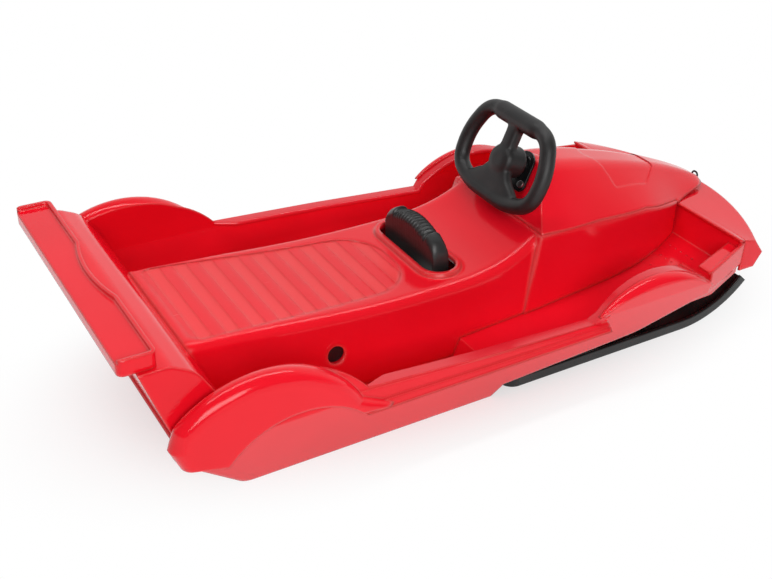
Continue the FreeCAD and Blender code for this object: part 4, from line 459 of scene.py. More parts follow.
class SledDetails(bpy.types.PropertyGroup):
    """Sizes of the moulded details."""

    dot_radius: FloatProperty(
        name="Dot radius", description="Radius of an anti-slip dot", unit="LENGTH", default=0.0024)
    dot_pitch: FloatProperty(
        name="Dot pitch", description="Distance between dots", unit="LENGTH", default=0.0125)
    dot_height: FloatProperty(
        name="Dot height", description="Height of a dot", unit="LENGTH", default=0.0012)
    dots_front: FloatProperty(
        name="Dots front", description="Place of the foremost row of dots", unit="LENGTH", default=0.390)
    dots_inner: FloatProperty(
        name="Dots inner", description="Place of that row's innermost dot", unit="LENGTH", default=0.097)
    dots_flare: FloatProperty(
        name="Dots flare", description="Shift of a row outwards for each unit that it lies further back",
        default=0.42)
    dot_rows: IntProperty(name="Dot rows", description="Number of rows of dots", default=4)
    dots_in_row: IntProperty(name="Dots in a row", description="Number of dots in a row", default=5)
    row_pitch: FloatProperty(
        name="Row pitch", description="Distance between rows of dots", unit="LENGTH", default=0.033)
    ledge_width: FloatProperty(
        name="Ledge width", description="Width of the ledge along the wall's top", unit="LENGTH",
        default=0.016)
    ledge_depth: FloatProperty(
        name="Ledge depth", description="Thickness of that ledge", unit="LENGTH", default=0.0075)
    ledge_lap: FloatProperty(
        name="Ledge lap", description="Length by which ledges and sills reach into the tub", unit="LENGTH",
        default=0.003)
    ledge_rear: FloatVectorProperty(
        name="Ledge rear", description="Rear end of the ledge, as place and height", unit="LENGTH", size=2,
        default=(-0.262, 0.1240))
    ledge_front: FloatProperty(
        name="Ledge front", description="Front end of the ledge", unit="LENGTH", default=0.312)
    ledge_knee: FloatProperty(
        name="Ledge knee", description="Height at which the ledge turns up the mudguard", unit="LENGTH",
        default=0.1018)
    ledge_taper: FloatProperty(
        name="Ledge taper", description="Length over which the ledge's ends taper", unit="LENGTH",
        default=0.030)
    arch_centre: FloatVectorProperty(
        name="Arch centre", description="Centre of the mudguard's arch, as place and height", unit="LENGTH",
        size=2, default=(0.222, -0.003))
    arch_radius: FloatProperty(
        name="Arch radius", description="Radius of the mudguard's arch", unit="LENGTH", default=0.1553)
    knee_half: FloatProperty(
        name="Knee half", description="Half width of the wall's inside at its knee", unit="LENGTH",
        default=0.246)
    knee_height: FloatProperty(
        name="Knee height", description="Height of the wall's knee", unit="LENGTH", default=0.113)
    wall_lean: FloatProperty(
        name="Wall lean", description="Lean of the wall above its knee, as width for each unit of height",
        default=0.187)
    skirt_lean: FloatProperty(
        name="Skirt lean", description="Lean of the wall below its knee, as width for each unit of height",
        default=0.389)
    sill_rear: FloatProperty(
        name="Sill rear", description="Rear end of the sill", unit="LENGTH", default=0.290)
    sill_front: FloatProperty(
        name="Sill front", description="Front end of the sill", unit="LENGTH", default=0.4245)
    sill_height: FloatProperty(
        name="Sill height", description="Height of the sill at its rear end", unit="LENGTH", default=0.009)
    sill_growth: FloatProperty(
        name="Sill growth", description="Growth of the sill's height to its front end", unit="LENGTH",
        default=0.0055)
    sill_skin: FloatProperty(
        name="Sill skin", description="Thickness of the sill", unit="LENGTH", default=0.002)
    nose_half: FloatProperty(
        name="Nose half", description="Half width of the nose where it starts to taper", unit="LENGTH",
        default=0.239)
    nose_start: FloatProperty(
        name="Nose start", description="Place where the nose starts to taper", unit="LENGTH", default=0.335)
    nose_taper: FloatProperty(
        name="Nose taper", description="Loss of half width for each unit of length along the nose",
        default=0.3376)


class SledGrip(bpy.types.PropertyGroup):
    """Sizes of the brake's moulded grip."""

    half: FloatProperty(
        name="Half width", description="Half width of the grip", unit="LENGTH", default=0.070)
    thick: FloatProperty(
        name="Thickness", description="Thickness of the grip", unit="LENGTH", default=0.028)
    corner: FloatProperty(
        name="Corner", description="Rounding of the grip's shoulders", unit="LENGTH", default=0.012)
    edge: FloatProperty(
        name="Edge", description="Rounding of the grip's upright edges", unit="LENGTH", default=0.004)
    top_round: FloatProperty(
        name="Top round", description="Rounding of the grip's top edges", unit="LENGTH", default=0.0125)
    cut: FloatProperty(
        name="Cut", description="Height at which the grip starts", unit="LENGTH", default=0.112)
    lap: FloatProperty(
        name="Lap", description="Length by which grip and lever overlap", unit="LENGTH", default=0.002)
    shoulder: FloatProperty(
        name="Shoulder", description="Height of the grip's ends", unit="LENGTH", default=0.170)
    top: FloatProperty(
        name="Top", description="Height of the grip's crown", unit="LENGTH", default=0.200)
    middle: FloatProperty(
        name="Middle", description="Place of the grip along the sled", unit="LENGTH", default=-0.0386)
    lean: FloatProperty(
        name="Lean", description="Lean of the grip to the rear", unit="LENGTH", default=0.0044)
    knob_rise: FloatProperty(
        name="Knob rise", description="Rise of the grip's smooth ends over its ribs", unit="LENGTH",
        default=0.0065)
    rib_half: FloatProperty(
        name="Rib half", description="Half width of the ribbed middle", unit="LENGTH", default=0.042)
    rib_pitch: FloatProperty(
        name="Rib pitch", description="Distance between ribs", unit="LENGTH", default=0.0065)
    rib_height: FloatProperty(
        name="Rib height", description="Height of a rib", unit="LENGTH", default=0.0016)
    station: FloatProperty(
        name="Station", description="Distance between the grip's sections", unit="LENGTH", default=0.0008)
    weld: FloatProperty(
        name="Weld", description="Distance within which the solid's points are joined", unit="LENGTH",
        precision=7, default=0.000002)


class SledWheel(bpy.types.PropertyGroup):
    """Sizes of the moulded wheel."""

    rim_radius: FloatProperty(
        name="Rim radius", description="Radius of the rim's section", unit="LENGTH", default=0.0122)
    rim_halves: FloatVectorProperty(
        name="Rim halves", description="Half widths at the rim's corners, from the top down", unit="LENGTH",
        size=4, default=(0.0720, 0.0965, 0.0920, 0.0450))
    rim_ups: FloatVectorProperty(
        name="Rim heights", description="Heights of the rim's corners above the column", unit="LENGTH",
        size=4, default=(0.0645, 0.0120, -0.0380, -0.0560))
    rim_rounds: FloatVectorProperty(
        name="Rim rounds", description="Edge length that each corner's round takes", unit="LENGTH", size=4,
        default=(0.026, 0.024, 0.022, 0.020))
    pad_low: FloatProperty(
        name="Pad low", description="Height above which the rim thickens", unit="LENGTH", default=0.050)
    pad_half: FloatProperty(
        name="Pad half", description="Half width of the thicker top bar", unit="LENGTH", default=0.052)
    pad_step: FloatProperty(
        name="Pad step", description="Length over which the rim thickens", unit="LENGTH", default=0.010)
    pad_rise: FloatProperty(
        name="Pad rise", description="Extra radius of the top bar", unit="LENGTH", default=0.0024)
    spoke_top: FloatProperty(
        name="Spoke top", description="Height of the spoke's upper end", unit="LENGTH", default=0.064)
    spoke_foot: FloatProperty(
        name="Spoke foot", description="Height of the spoke's lower end", unit="LENGTH", default=-0.060)
    spoke_thick: FloatProperty(
        name="Spoke thickness", description="Half thickness of the spoke", unit="LENGTH", default=0.010)
    spoke_shares: FloatVectorProperty(
        name="Spoke shares", description="Places along the spoke at which its half widths hold", size=9,
        default=(0.0, 0.15, 0.32, 0.48, 0.60, 0.70, 0.78, 0.88, 1.0))
    spoke_halves: FloatVectorProperty(
        name="Spoke halves", description="Half widths along the spoke", unit="LENGTH", size=9,
        default=(0.016, 0.0125, 0.0125, 0.016, 0.022, 0.032, 0.048, 0.066, 0.046))
    hub_radius: FloatProperty(
        name="Hub radius", description="Radius of the hub", unit="LENGTH", default=0.0245)
    hub_front: FloatProperty(
        name="Hub front", description="Height of the hub's face above the rim's plane", unit="LENGTH",
        default=0.0125)
    hub_back: FloatProperty(
        name="Hub back", description="Place of the hub's rear end", unit="LENGTH", default=-0.0268)
    voxel: FloatProperty(
        name="Voxel", description="Fineness of the moulded skin", unit="LENGTH", default=0.0018)


class SledStage(bpy.types.PropertyGroup):
    """Floor, light and camera."""

    floor: FloatVectorProperty(
        name="Floor", description="Colour of the floor", subtype="COLOR", size=3,
        default=(0.93, 0.93, 0.93))
    key: FloatProperty(
        name="Key light", description="Power of the large light at the rider's right", unit="POWER",
        default=56.0)
    strip: FloatProperty(
        name="Strip light", description="Power of the long light overhead", unit="POWER", default=20.0)
    sky: FloatProperty(name="Sky", description="Strength of the light from all around", default=0.9)
    lens: FloatProperty(name="Lens", description="Focal length in millimetres", default=52.87)
    azimuth: FloatProperty(
        name="Azimuth", description="Turn of the camera about the sled", subtype="ANGLE",
        default=math.radians(-31.51))
    elevation: FloatProperty(
        name="Elevation", description="Height of the camera as an angle", subtype="ANGLE",
        default=math.radians(31.77))
    roll: FloatProperty(
        name="Roll", description="Tilt of the camera", subtype="ANGLE", default=math.radians(2.0))
    stand: FloatVectorProperty(
        name="Stand", description="Place of the camera", subtype="TRANSLATION", size=3,
        default=(-0.8472, -1.2348, 0.9796))


# Making of pieces

SHARP_ANGLE = math.radians(40)


def add_object(name, data):
    """Object in the scene."""
    made = bpy.data.objects.new(name, data)
    bpy.context.scene.collection.objects.link(made)
    return made


def shade_smooth(mesh):
    """Shade all faces of a mesh smooth."""
    for face in mesh.polygons:
        face.use_smooth = True


def new_piece(name, fill, sizes, material, body):
    """Piece from a function that fills a mesh by its sizes, riding on a body."""
    mesh = bpy.data.meshes.new(name)
    shape = bmesh.new()
    fill(shape, sizes)
    bmesh.ops.recalc_face_normals(shape, faces=shape.faces[:])
    shape.to_mesh(mesh)
    shape.free()
    shade_smooth(mesh)
    mesh.materials.append(material)
    piece = add_object(name, mesh)
    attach(piece, body)
    return piece


def join_rings(shape, first, second):
    """Faces between two rings of as many points."""
    count = len(first)
    for step in range(count):
        after = (step + 1) % count
        shape.faces.new((first[step], first[after], second[after], second[step]))


def fill_loft(shape, rings):
    """Closed body from a row of rings, with a face on each end."""
    rows = [[shape.verts.new(place) for place in ring] for ring in rings]
    for first, second in zip(rows, rows[1:]):
        join_rings(shape, first, second)
    shape.faces.new(rows[0])
    shape.faces.new(list(reversed(rows[-1])))


def share_of(value):
    """Value held between 0 and 1."""
    return min(max(value, 0.0), 1.0)


def smooth_share(value):
    """Share that eases from 0 to 1."""
    value = share_of(value)
    return value * value * (3 - 2 * value)


# Wheel

RIM_SIDES = 20
RIM_CORNER_STEPS = 10
RIM_STEP_SHARE = 0.3
SAME_POINT = 1e-6
SPOKE_SQUARENESS = 0.6
HUB_SIDES = 28
HUB_FACE = ((0.5, 1.0), (0.86, 0.8), (1.0, 0.3))
SKIN_SOFTENING = 0.5
SKIN_ROUNDS = 8


def round_path(corners, rounds):
    """Closed path in a plane through corners, each rounded off by its own length of edge."""
    path = []
    count = len(corners)
    for index, corner in enumerate(corners):
        before = (corners[index - 1] - corner).normalized() * rounds[index]
        after = (corners[(index + 1) % count] - corner).normalized() * rounds[index]
        for step in range(RIM_CORNER_STEPS + 1):
            share = step / RIM_CORNER_STEPS
            path.append(corner + before * (1 - share) ** 2 + after * share ** 2)
    return path


def dense(path, step):
    """The same closed path with more points along its long stretches."""
    points = []
    for index, place in enumerate(path):
        after = path[(index + 1) % len(path)]
        count = max(1, int((after - place).length / step))
        points.extend(place.lerp(after, part / count) for part in range(count))
    return [place for index, place in enumerate(points) if (place - points[index - 1]).length > SAME_POINT]


def fill_tube(shape, path, radius_at):
    """Closed tube along a path in the wheel's plane."""
    rings = []
    count = len(path)
    for index, place in enumerate(path):
        along = (path[(index + 1) % count] - path[index - 1]).normalized()
        side = Vector((-along.y, along.x, 0.0))
        radius = radius_at(place)
        ring = []
        for step in range(RIM_SIDES):
            turn = 2 * math.pi * step / RIM_SIDES
            way = side * math.cos(turn) + Vector((0.0, 0.0, 1.0)) * math.sin(turn)
            ring.append(shape.verts.new(place + way * radius))
        rings.append(ring)
    for index, ring in enumerate(rings):
        join_rings(shape, ring, rings[(index + 1) % count])


def squared(value):
    """Sine or cosine of a circle that swells towards a square."""
    return math.copysign(abs(value) ** SPOKE_SQUARENESS, value)


def ring_ways():
    """Cosine and sine of each point round the hub or the spoke."""
    turns = [2 * math.pi * step / HUB_SIDES for step in range(HUB_SIDES)]
    return [(math.cos(turn), math.sin(turn)) for turn in turns]


def oval(half, thick, up):
    """Cross-section of the spoke: a flat oval across the wheel."""
    return [Vector((squared(across) * half, up, squared(out) * thick)) for across, out in ring_ways()]


def disc(radius, out):
    """Ring of the hub at its distance from the rim's plane."""
    return [Vector((across * radius, up * radius, out)) for across, up in ring_ways()]


def column_frame():
    """Turns the wheel's own plane into the sled's frame, from the joint that the wheel turns on."""
    joint = next(item for item in frame["joints"] if item["name"] == "wheel_turn")
    out = Vector(joint["axis"]).normalized()
    up = Vector((out.z, 0.0, -out.x))
    matrix = Matrix((up.cross(out), up, out)).transposed().to_4x4()
    matrix.translation = Vector(joint["pos_m"])
    return matrix


def fill_wheel(shape, wheel):
    """Rim, flared spoke and hub, made in the wheel's own plane and then set on the column."""
    right = [Vector((half, up, 0.0)) for half, up in zip(wheel.rim_halves, wheel.rim_ups)]
    left = [Vector((-corner.x, corner.y, 0.0)) for corner in reversed(right)]
    rounds = list(wheel.rim_rounds) + list(reversed(wheel.rim_rounds))

    def radius_at(place):
        near_top = share_of((place.y - wheel.pad_low) / wheel.pad_step)
        near_middle = share_of((wheel.pad_half - abs(place.x)) / wheel.pad_step)
        return wheel.rim_radius + wheel.pad_rise * near_top * near_middle

    path = dense(round_path(right + left, rounds), wheel.rim_radius * RIM_STEP_SHARE)
    fill_tube(shape, path, radius_at)
    drop = wheel.spoke_foot - wheel.spoke_top
    ups = [share * drop + wheel.spoke_top for share in wheel.spoke_shares]
    fill_loft(shape, [oval(half, wheel.spoke_thick, up) for half, up in zip(wheel.spoke_halves, ups)])
    hub = [disc(wheel.hub_radius * wide, wheel.hub_front * out) for wide, out in HUB_FACE]
    fill_loft(shape, hub + [disc(wheel.hub_radius, wheel.hub_back)])
    bmesh.ops.transform(shape, matrix=column_frame(), verts=shape.verts)


def mould_skin(piece, voxel):
    """Melt the overlapping bodies of a piece into one soft skin."""
    melt = piece.modifiers.new("melt", "REMESH")
    melt.mode = "VOXEL"
    melt.voxel_size = voxel
    soft = piece.modifiers.new("soft", "SMOOTH")
    soft.factor = SKIN_SOFTENING
    soft.iterations = SKIN_ROUNDS
    found = piece.evaluated_get(bpy.context.evaluated_depsgraph_get())
    mesh = bpy.data.meshes.new_from_object(found)
    piece.modifiers.clear()
    piece.data = mesh
    shade_smooth(mesh)


# Brake lever with its grip

CROWN_STEPS = 24
CROWN_SPREAD = 3
KNOB_SINK = 0.6
RIB_FADE = 0.7
RIB_POINT = 3
RIB_SPREAD = 2.5


def round_drop(place, limit, radius):
    """Drop of a quarter round of the radius that ends at the limit."""
    share = min(max(abs(place) - limit + radius, 0.0) / radius, 1.0)
    return radius * (1 - math.sqrt(1 - share * share))


def grip_middle(grip, z):
    """Place of the grip's middle, which leans back towards its top."""
    return grip.middle - grip.lean * (z - grip.cut) / (grip.top - grip.cut)


def grip_section(grip, y):
    """Closed section of the brake's grip: rear face, round top and front face."""
    half = grip.thick / 2 - round_drop(y, grip.half, grip.edge)
    rise = grip.top - grip.shoulder
    crown = (grip.half ** 2 + rise ** 2) / (2 * rise)
    knob = smooth_share((abs(y) - grip.rib_half) / (grip.rib_pitch * RIB_FADE))
    top = grip.top - crown + math.sqrt(crown ** 2 - y ** 2) + grip.knob_rise * (knob - KNOB_SINK)
    top = top - round_drop(y, grip.half, grip.corner)
    bend = min(half, grip.top_round)
    wave = max(math.cos(2 * math.pi * y / grip.rib_pitch), 0.0)
    ridge = wave ** RIB_POINT * grip.rib_height * (1 - knob)
    section = [(-half, grip.cut)]
    for step in range(CROWN_STEPS + 1):
        turn = math.pi * (1 - step / CROWN_STEPS)
        across = math.cos(turn)
        reach = bend + ridge * smooth_share(math.sin(turn) * RIB_SPREAD)
        x = across * reach + (half - bend) * min(max(across * CROWN_SPREAD, -1.0), 1.0)
        section.append((x, top - bend + math.sin(turn) * reach))
    section.append((half, grip.cut))
    return [Vector((grip_middle(grip, z) + x, y, z)) for x, z in section]


def fill_brake(shape, grip):
    """The brake lever below the grip, with the moulded grip on top of it."""
    shape.from_mesh(frame["nodes"]["brake_lever"].data)
    bmesh.ops.remove_doubles(shape, verts=shape.verts[:], dist=grip.weld)
    parts = shape.verts[:] + shape.edges[:] + shape.faces[:]
    bmesh.ops.bisect_plane(
        shape, geom=parts, plane_co=(0, 0, grip.cut + grip.lap), plane_no=(0, 0, 1), clear_outer=True)
    bmesh.ops.holes_fill(shape, edges=[edge for edge in shape.edges if edge.is_boundary], sides=0)
    stations = 2 * int(grip.half / grip.station)
    places = [-grip.half + 2 * grip.half * step / stations for step in range(stations + 1)]
    fill_loft(shape, [grip_section(grip, y) for y in places])


# Floor dots, wall ledges and sills

FRONT_FLOOR_START = 0.200
FRONT_FLOOR_LOW = 0.070
FRONT_FLOOR_SLOPE = 0.014 / 0.222
LEDGE_RUN_STEPS = 24
LEDGE_ARCH_STEPS = 48
LEDGE_ROLL_STEPS = 8
LEDGE_END_SHARE = 0.2
SILL_STEPS = 32


def floor_height(x):
    """Height of the front floor, which rises towards the toes."""
    return FRONT_FLOOR_LOW + (x - FRONT_FLOOR_START) * FRONT_FLOOR_SLOPE


def fill_dots(shape, sizes):
    """Rows of low domes on both sides of the front floor."""
    squash = Matrix.Diagonal((1, 1, sizes.dot_height / sizes.dot_radius, 1))
    for row in range(sizes.dot_rows):
        x = sizes.dots_front - row * sizes.row_pitch
        inner = sizes.dots_inner + row * sizes.row_pitch * sizes.dots_flare
        for column in range(sizes.dots_in_row):
            for side in SIDES:
                y = side * (inner + column * sizes.dot_pitch)
                spot = Matrix.Translation(Vector((x, y, floor_height(x)))) @ squash
                bmesh.ops.create_icosphere(shape, subdivisions=1, radius=sizes.dot_radius, matrix=spot)


def wall_inside(z, sizes):
    """Half width of the side wall's inside at a height."""
    rise = z - sizes.knee_height
    lean = sizes.wall_lean if rise > 0 else -sizes.skirt_lean
    return sizes.knee_half - rise * lean


def ledge_path(sizes):
    """Places of the wall's top from the rear mudguard over the front one, each with its way up."""
    centre = Vector(sizes.arch_centre)
    start = Vector(sizes.ledge_rear)
    reach = math.sqrt(sizes.arch_radius ** 2 - (sizes.ledge_knee - centre.y) ** 2)
    knee = Vector((centre.x - reach, sizes.ledge_knee))
    run = (knee - start).normalized()
    up = Vector((-run.y, run.x))
    out = (knee - centre).normalized()
    path = [(start.lerp(knee, step / LEDGE_RUN_STEPS), up) for step in range(LEDGE_RUN_STEPS)]
    path.append((knee, (up + out) / (1 + up.dot(out))))
    first = math.acos((knee.x - centre.x) / sizes.arch_radius)
    last = math.acos((sizes.ledge_front - centre.x) / sizes.arch_radius)
    for step in range(1, LEDGE_ARCH_STEPS + 1):
        turn = first + (last - first) * step / LEDGE_ARCH_STEPS
        out = Vector((math.cos(turn), math.sin(turn)))
        path.append((centre + out * sizes.arch_radius, out))
    return path


def ledge_section(place, up, side, sizes):
    """Closed section of the ledge: a flat top that rounds over to its underside."""
    end = min(place.x - sizes.ledge_rear[0], sizes.ledge_front - place.x)
    grown = smooth_share(end / sizes.ledge_taper)
    width = sizes.ledge_width * (LEDGE_END_SHARE + (1 - LEDGE_END_SHARE) * grown)
    bend = sizes.ledge_depth / 2
    outline = [(-sizes.ledge_lap, 0.0)]
    for step in range(LEDGE_ROLL_STEPS + 1):
        turn = math.pi * (0.5 - step / LEDGE_ROLL_STEPS)
        outline.append((width - bend + bend * math.cos(turn), bend * (math.sin(turn) - 1)))
    outline.append((-sizes.ledge_lap, -sizes.ledge_depth))
    section = []
    for inward, rise in outline:
        spot = place + up * rise
        section.append(Vector((spot.x, side * (wall_inside(place.y, sizes) - inward), spot.y)))
    return section


def fill_ledges(shape, sizes):
    """The rolled ledge inside the top of each wall."""
    for side in SIDES:
        fill_loft(shape, [ledge_section(place, up, side, sizes) for place, up in ledge_path(sizes)])


def sill_section(x, side, sizes):
    """Section of the sill that closes the wall down to the floor in front of the mudguard."""
    share = (x - sizes.sill_rear) / (sizes.sill_front - sizes.sill_rear)
    bottom = floor_height(x) - sizes.ledge_lap
    top = bottom + sizes.sill_height + share * sizes.sill_growth
    nose = sizes.nose_half - max(x - sizes.nose_start, 0.0) * sizes.nose_taper
    section = []
    for z, inward in ((bottom, 0), (top, 0), (top, 1), (bottom, 1)):
        half = min(wall_inside(z, sizes) + sizes.ledge_lap, nose) - inward * sizes.sill_skin
        section.append(Vector((x, side * half, z)))
    return section


def fill_sills(shape, sizes):
    """The sill between each wall and the front floor."""
    length = sizes.sill_front - sizes.sill_rear
    places = [sizes.sill_rear + length * step / SILL_STEPS for step in range(SILL_STEPS + 1)]
    for side in SIDES:
        fill_loft(shape, [sill_section(x, side, sizes) for x in places])


# Stage

WHITE = (1.0, 1.0, 1.0, 1.0)
STAGE_CLOUD_SCALE = 1.5
STAGE_CLOUD_SHARE = 0.3
STAGE_CLOUD_SHADE = 0.985
# Distances from the sled over which the painted shadow round it fades out, and the share of white within it
# and beyond
STAGE_PAINTED_SHADOW_LIMITS = (0.55, 1.35)
STAGE_GLOW_IN_PAINTED_SHADOW = 0.47
STAGE_GLOW_GROWTH = 0.53
STAGE_REACH = 12.0
STAGE_GAP = 0.0005
SKY_DARK = (0.2, 0.2, 0.205, 1.0)
SKY_ALONG = 0.53
SKY_ACROSS = 0.85
SKY_LIMITS = (-0.10, 0.50)
SKY_TOP_LIMITS = (0.55, 0.85)
SKY_TOP_LOSS = 0.6
LIGHT_AIM = (0.0, 0.0, 0.1)
KEY_PLACE = (-0.9, -2.6, 1.6)
KEY_SIZE = (2.0, 1.3)
STRIP_PLACE = (0.0, 0.25, 2.0)
STRIP_SIZE = (2.8, 0.24)
SENSOR_WIDTH = 36.0
CLIP_END = 100.0


def floor_material(stage):
    """Pale floor that keeps a soft shadow and shows white to the camera and in reflections, less so near the
    sled, where the weaker white is a painted shadow.
    """
    material, tree = new_material("studio_floor")
    place = object_place(tree)
    cloud = tree.noise(place, STAGE_CLOUD_SCALE, detail=2.0) * STAGE_CLOUD_SHARE
    pale = tree.blend(cloud, colour4(stage.floor), colour4(stage.floor, STAGE_CLOUD_SHADE))
    diffuse = tree.node("ShaderNodeBsdfDiffuse", {}, {"Color": pale})
    glow = tree.node("ShaderNodeEmission", {}, {"Color": WHITE, "Strength": 1.0})
    ray = tree.node("ShaderNodeLightPath", output="Is Camera Ray")
    rays = ray + ray.output("Is Glossy Ray") + ray.output("Is Transmission Ray")
    seen = rays.maths("MINIMUM", 1.0)
    # Less white near the sled: a painted shadow, darker towards the sled
    x, y, _ = tree.split(place)
    along = x / CAD_BOX[1][0]
    across = y / CAD_BOX[1][1]
    away = (along * along + across * across).maths("SQRT")
    glow_share_with_painted_shadow = tree.ramp(away, *STAGE_PAINTED_SHADOW_LIMITS) * STAGE_GLOW_GROWTH + STAGE_GLOW_IN_PAINTED_SHADOW
    surface = tree.node("ShaderNodeMixShader", {}, {0: seen * glow_share_with_painted_shadow, 1: diffuse, 2: glow})
    tree.node("ShaderNodeOutputMaterial", {}, {"Surface": surface})
    return material


def make_floor(stage):
    """Wide flat floor just under the sled."""
    mesh = bpy.data.meshes.new("studio_floor")
    low, high = -STAGE_REACH, STAGE_REACH
    corners = [(low, low, 0.0), (high, low, 0.0), (high, high, 0.0), (low, high, 0.0)]
    mesh.from_pydata(corners, [], [(0, 1, 2, 3)])
    mesh.materials.append(floor_material(stage))
    floor = add_object("studio_floor", mesh)
    floor.location.z = CAD_BOX[0][2] - STAGE_GAP


def make_sky(stage):
    """Soft light from all around, stronger from the front left, and plain white to the camera."""
    world = bpy.data.worlds.new("studio_sky")
    world.use_nodes = True
    bpy.context.scene.world = world
    tree = Tree(world.node_tree)
    x, y, z = tree.split(tree.node("ShaderNodeTexCoord", output="Generated"))
    far = tree.ramp(x * SKY_ALONG + y * SKY_ACROSS, *SKY_LIMITS)
    low = 1 - tree.ramp(z, *SKY_TOP_LIMITS) * SKY_TOP_LOSS
    tone = tree.blend(far * low, SKY_DARK, WHITE)
    sky = tree.node("ShaderNodeBackground", {}, {"Color": tone, "Strength": stage.sky})
    white = tree.node("ShaderNodeBackground", {}, {"Color": WHITE, "Strength": 1.0})
    seen = tree.node("ShaderNodeLightPath", output="Is Camera Ray")
    surface = tree.node("ShaderNodeMixShader", {}, {0: seen, 1: sky, 2: white})
    tree.node("ShaderNodeOutputWorld", {}, {"Surface": surface})


def add_area(name, place, size, power):
    """Rectangular soft light that points at the sled."""
    light = bpy.data.lights.new(name, "AREA")
    light.shape = "RECTANGLE"
    light.size, light.size_y = size
    light.energy = power
    lamp = add_object(name, light)
    lamp.location = place
    lamp.rotation_euler = (Vector(LIGHT_AIM) - Vector(place)).to_track_quat("-Z", "Y").to_euler()


def make_lights(stage):
    """Large light at the rider's right and a long one overhead."""
    add_area("key_light", KEY_PLACE, KEY_SIZE, stage.key)
    add_area("strip_light", STRIP_PLACE, STRIP_SIZE, stage.strip)


def make_camera(stage):
    """Camera from its place, azimuth, elevation and roll."""
    turn, rise, roll = stage.azimuth, stage.elevation, stage.roll
    back = Vector((math.sin(turn) * math.cos(rise), -math.cos(turn) * math.cos(rise), math.sin(rise)))
    level = (-back).cross(Vector((0, 0, 1))).normalized()
    upright = level.cross(-back)
    right = level * math.cos(roll) + upright * math.sin(roll)
    up = upright * math.cos(roll) - level * math.sin(roll)
    matrix = Matrix((right, up, back)).transposed().to_4x4()
    matrix.translation = Vector(stage.stand)
    data = bpy.data.cameras.new("photo_camera")
    data.sensor_width = SENSOR_WIDTH
    data.lens = stage.lens
    data.clip_end = CLIP_END
    camera = add_object("photo_camera", data)
    camera.matrix_world = matrix
    bpy.context.scene.camera = camera


# Operators

class SLED_OT_mouldings(bpy.types.Operator):
    """Give the red mouldings their plastic"""

    bl_idname = "sled.mouldings"
    bl_label = "Red mouldings"

    def execute(self, context):
        finish = context.scene.sled_finish
        plain = red_plastic("red_plastic", finish)
        for node in RED_NODES:
            paint_node(node, plain)
        paint_node("seat_deck", red_plastic("red_plastic_seat", finish, panel=True))
        return {"FINISHED"}


class SLED_OT_black_parts(bpy.types.Operator):
    """Give the ski, the lever, the bearings and the small black parts their plastics"""

    bl_idname = "sled.black_parts"
    bl_label = "Black parts"

    def execute(self, context):
        finish = context.scene.sled_finish
        black = black_plastic("black_plastic", finish, finish.black)
        for node in BLACK_NODES:
            paint_node(node, black)
        paint_node("ski", black_plastic("ski_plastic", finish, finish.ski))
        return {"FINISHED"}


class SLED_OT_brake(bpy.types.Operator):
    """Add the brake lever with its moulded, ribbed grip in the place of its plain solid"""

    bl_idname = "sled.brake"
    bl_label = "Brake lever"

    def execute(self, context):
        black = packed_material("black_plastic")
        grip = context.scene.sled_grip
        piece = new_piece("moulded_brake", fill_brake, grip, black, "brake")
        piece.data.set_sharp_from_angle(angle=SHARP_ANGLE)
        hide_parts("brake_lever")
        return {"FINISHED"}


class SLED_OT_wheel(bpy.types.Operator):
    """Add the soft moulded wheel in the place of its plain solid"""

    bl_idname = "sled.wheel"
    bl_label = "Wheel"

    def execute(self, context):
        soft = soft_black("soft_black", context.scene.sled_finish)
        wheel = context.scene.sled_wheel
        piece = new_piece("moulded_wheel", fill_wheel, wheel, soft, "steering")
        mould_skin(piece, wheel.voxel)
        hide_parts("steering_wheel")
        return {"FINISHED"}


class SLED_OT_steel_parts(bpy.types.Operator):
    """Give the shaft, the pins and the fasteners their plated steel"""

    bl_idname = "sled.steel_parts"
    bl_label = "Steel parts"

    def execute(self, context):
        steel = zinc_steel("steel", context.scene.sled_finish)
        for node in STEEL_NODES:
            paint_node(node, steel)
        return {"FINISHED"}


class SLED_OT_floor_dots(bpy.types.Operator):
    """Add the anti-slip dots on the front floor"""

    bl_idname = "sled.floor_dots"
    bl_label = "Floor dots"

    def execute(self, context):
        red = packed_material("red_plastic")
        new_piece("floor_dots", fill_dots, context.scene.sled_details, red, "hull")
        return {"FINISHED"}


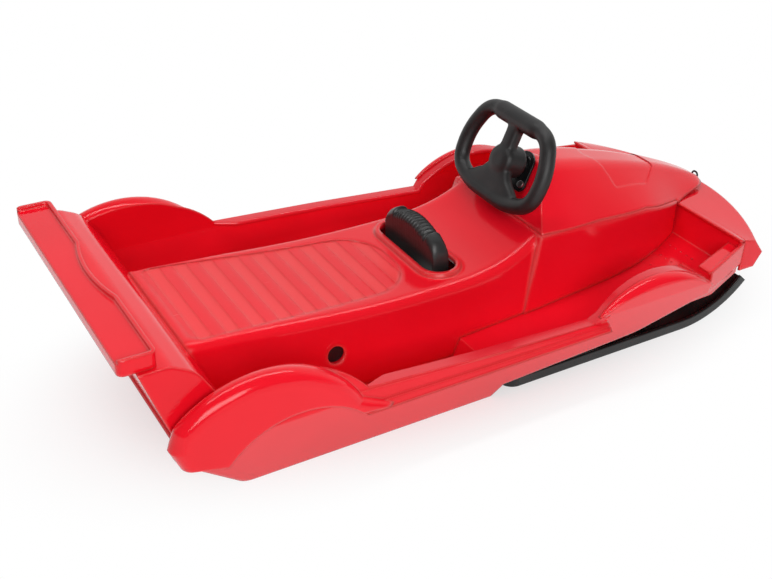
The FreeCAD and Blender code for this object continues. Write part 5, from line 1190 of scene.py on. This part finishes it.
class SLED_OT_wall_ledges(bpy.types.Operator):
    """Add the rolled ledges inside the walls' tops and the sills between the walls and the front floor"""

    bl_idname = "sled.wall_ledges"
    bl_label = "Wall ledges and sills"

    def execute(self, context):
        red = packed_material("red_plastic")
        for name, fill in (("wall_ledges", fill_ledges), ("wall_sills", fill_sills)):
            piece = new_piece(name, fill, context.scene.sled_details, red, "hull")
            piece.data.set_sharp_from_angle(angle=SHARP_ANGLE)
        return {"FINISHED"}


class SLED_OT_stage(bpy.types.Operator):
    """Add the floor, the soft light and the camera"""

    bl_idname = "sled.stage"
    bl_label = "Stage"

    def execute(self, context):
        stage = context.scene.sled_stage
        make_floor(stage)
        make_sky(stage)
        make_lights(stage)
        make_camera(stage)
        context.scene.view_settings.view_transform = "Standard"
        return {"FINISHED"}


# Panel and registration

class SLED_PT_panel(bpy.types.Panel):
    """Sidebar panel of the sled"""

    bl_idname = "SLED_PT_panel"
    bl_label = "Steering sled"
    bl_space_type = "VIEW_3D"
    bl_region_type = "UI"
    bl_category = "Sled"

    def draw(self, context):
        layout = self.layout
        for operator in OPERATORS:
            layout.operator(operator.bl_idname)
        for group, kind in GROUPS.items():
            box = layout.box()
            for name in kind.__annotations__:
                box.prop(getattr(context.scene, group), name)


GROUPS = {
    "sled_finish": SledFinish,
    "sled_grip": SledGrip,
    "sled_wheel": SledWheel,
    "sled_details": SledDetails,
    "sled_stage": SledStage,
}
OPERATORS = (
    SLED_OT_mouldings, SLED_OT_black_parts, SLED_OT_brake, SLED_OT_wheel, SLED_OT_steel_parts,
    SLED_OT_floor_dots, SLED_OT_wall_ledges, SLED_OT_stage,
)
CLASSES = tuple(GROUPS.values()) + OPERATORS + (SLED_PT_panel,)


def register():
    for item in CLASSES:
        bpy.utils.register_class(item)
    for group, kind in GROUPS.items():
        setattr(bpy.types.Scene, group, PointerProperty(type=kind))


def unregister():
    for group in GROUPS:
        delattr(bpy.types.Scene, group)
    for item in reversed(CLASSES):
        bpy.utils.unregister_class(item)


def main():
    register()
    bpy.ops.sled.mouldings()
    bpy.ops.sled.black_parts()
    bpy.ops.sled.brake()
    bpy.ops.sled.wheel()
    bpy.ops.sled.steel_parts()
    bpy.ops.sled.floor_dots()
    bpy.ops.sled.wall_ledges()
    bpy.ops.sled.stage()


if __name__ == "__main__":
    main()
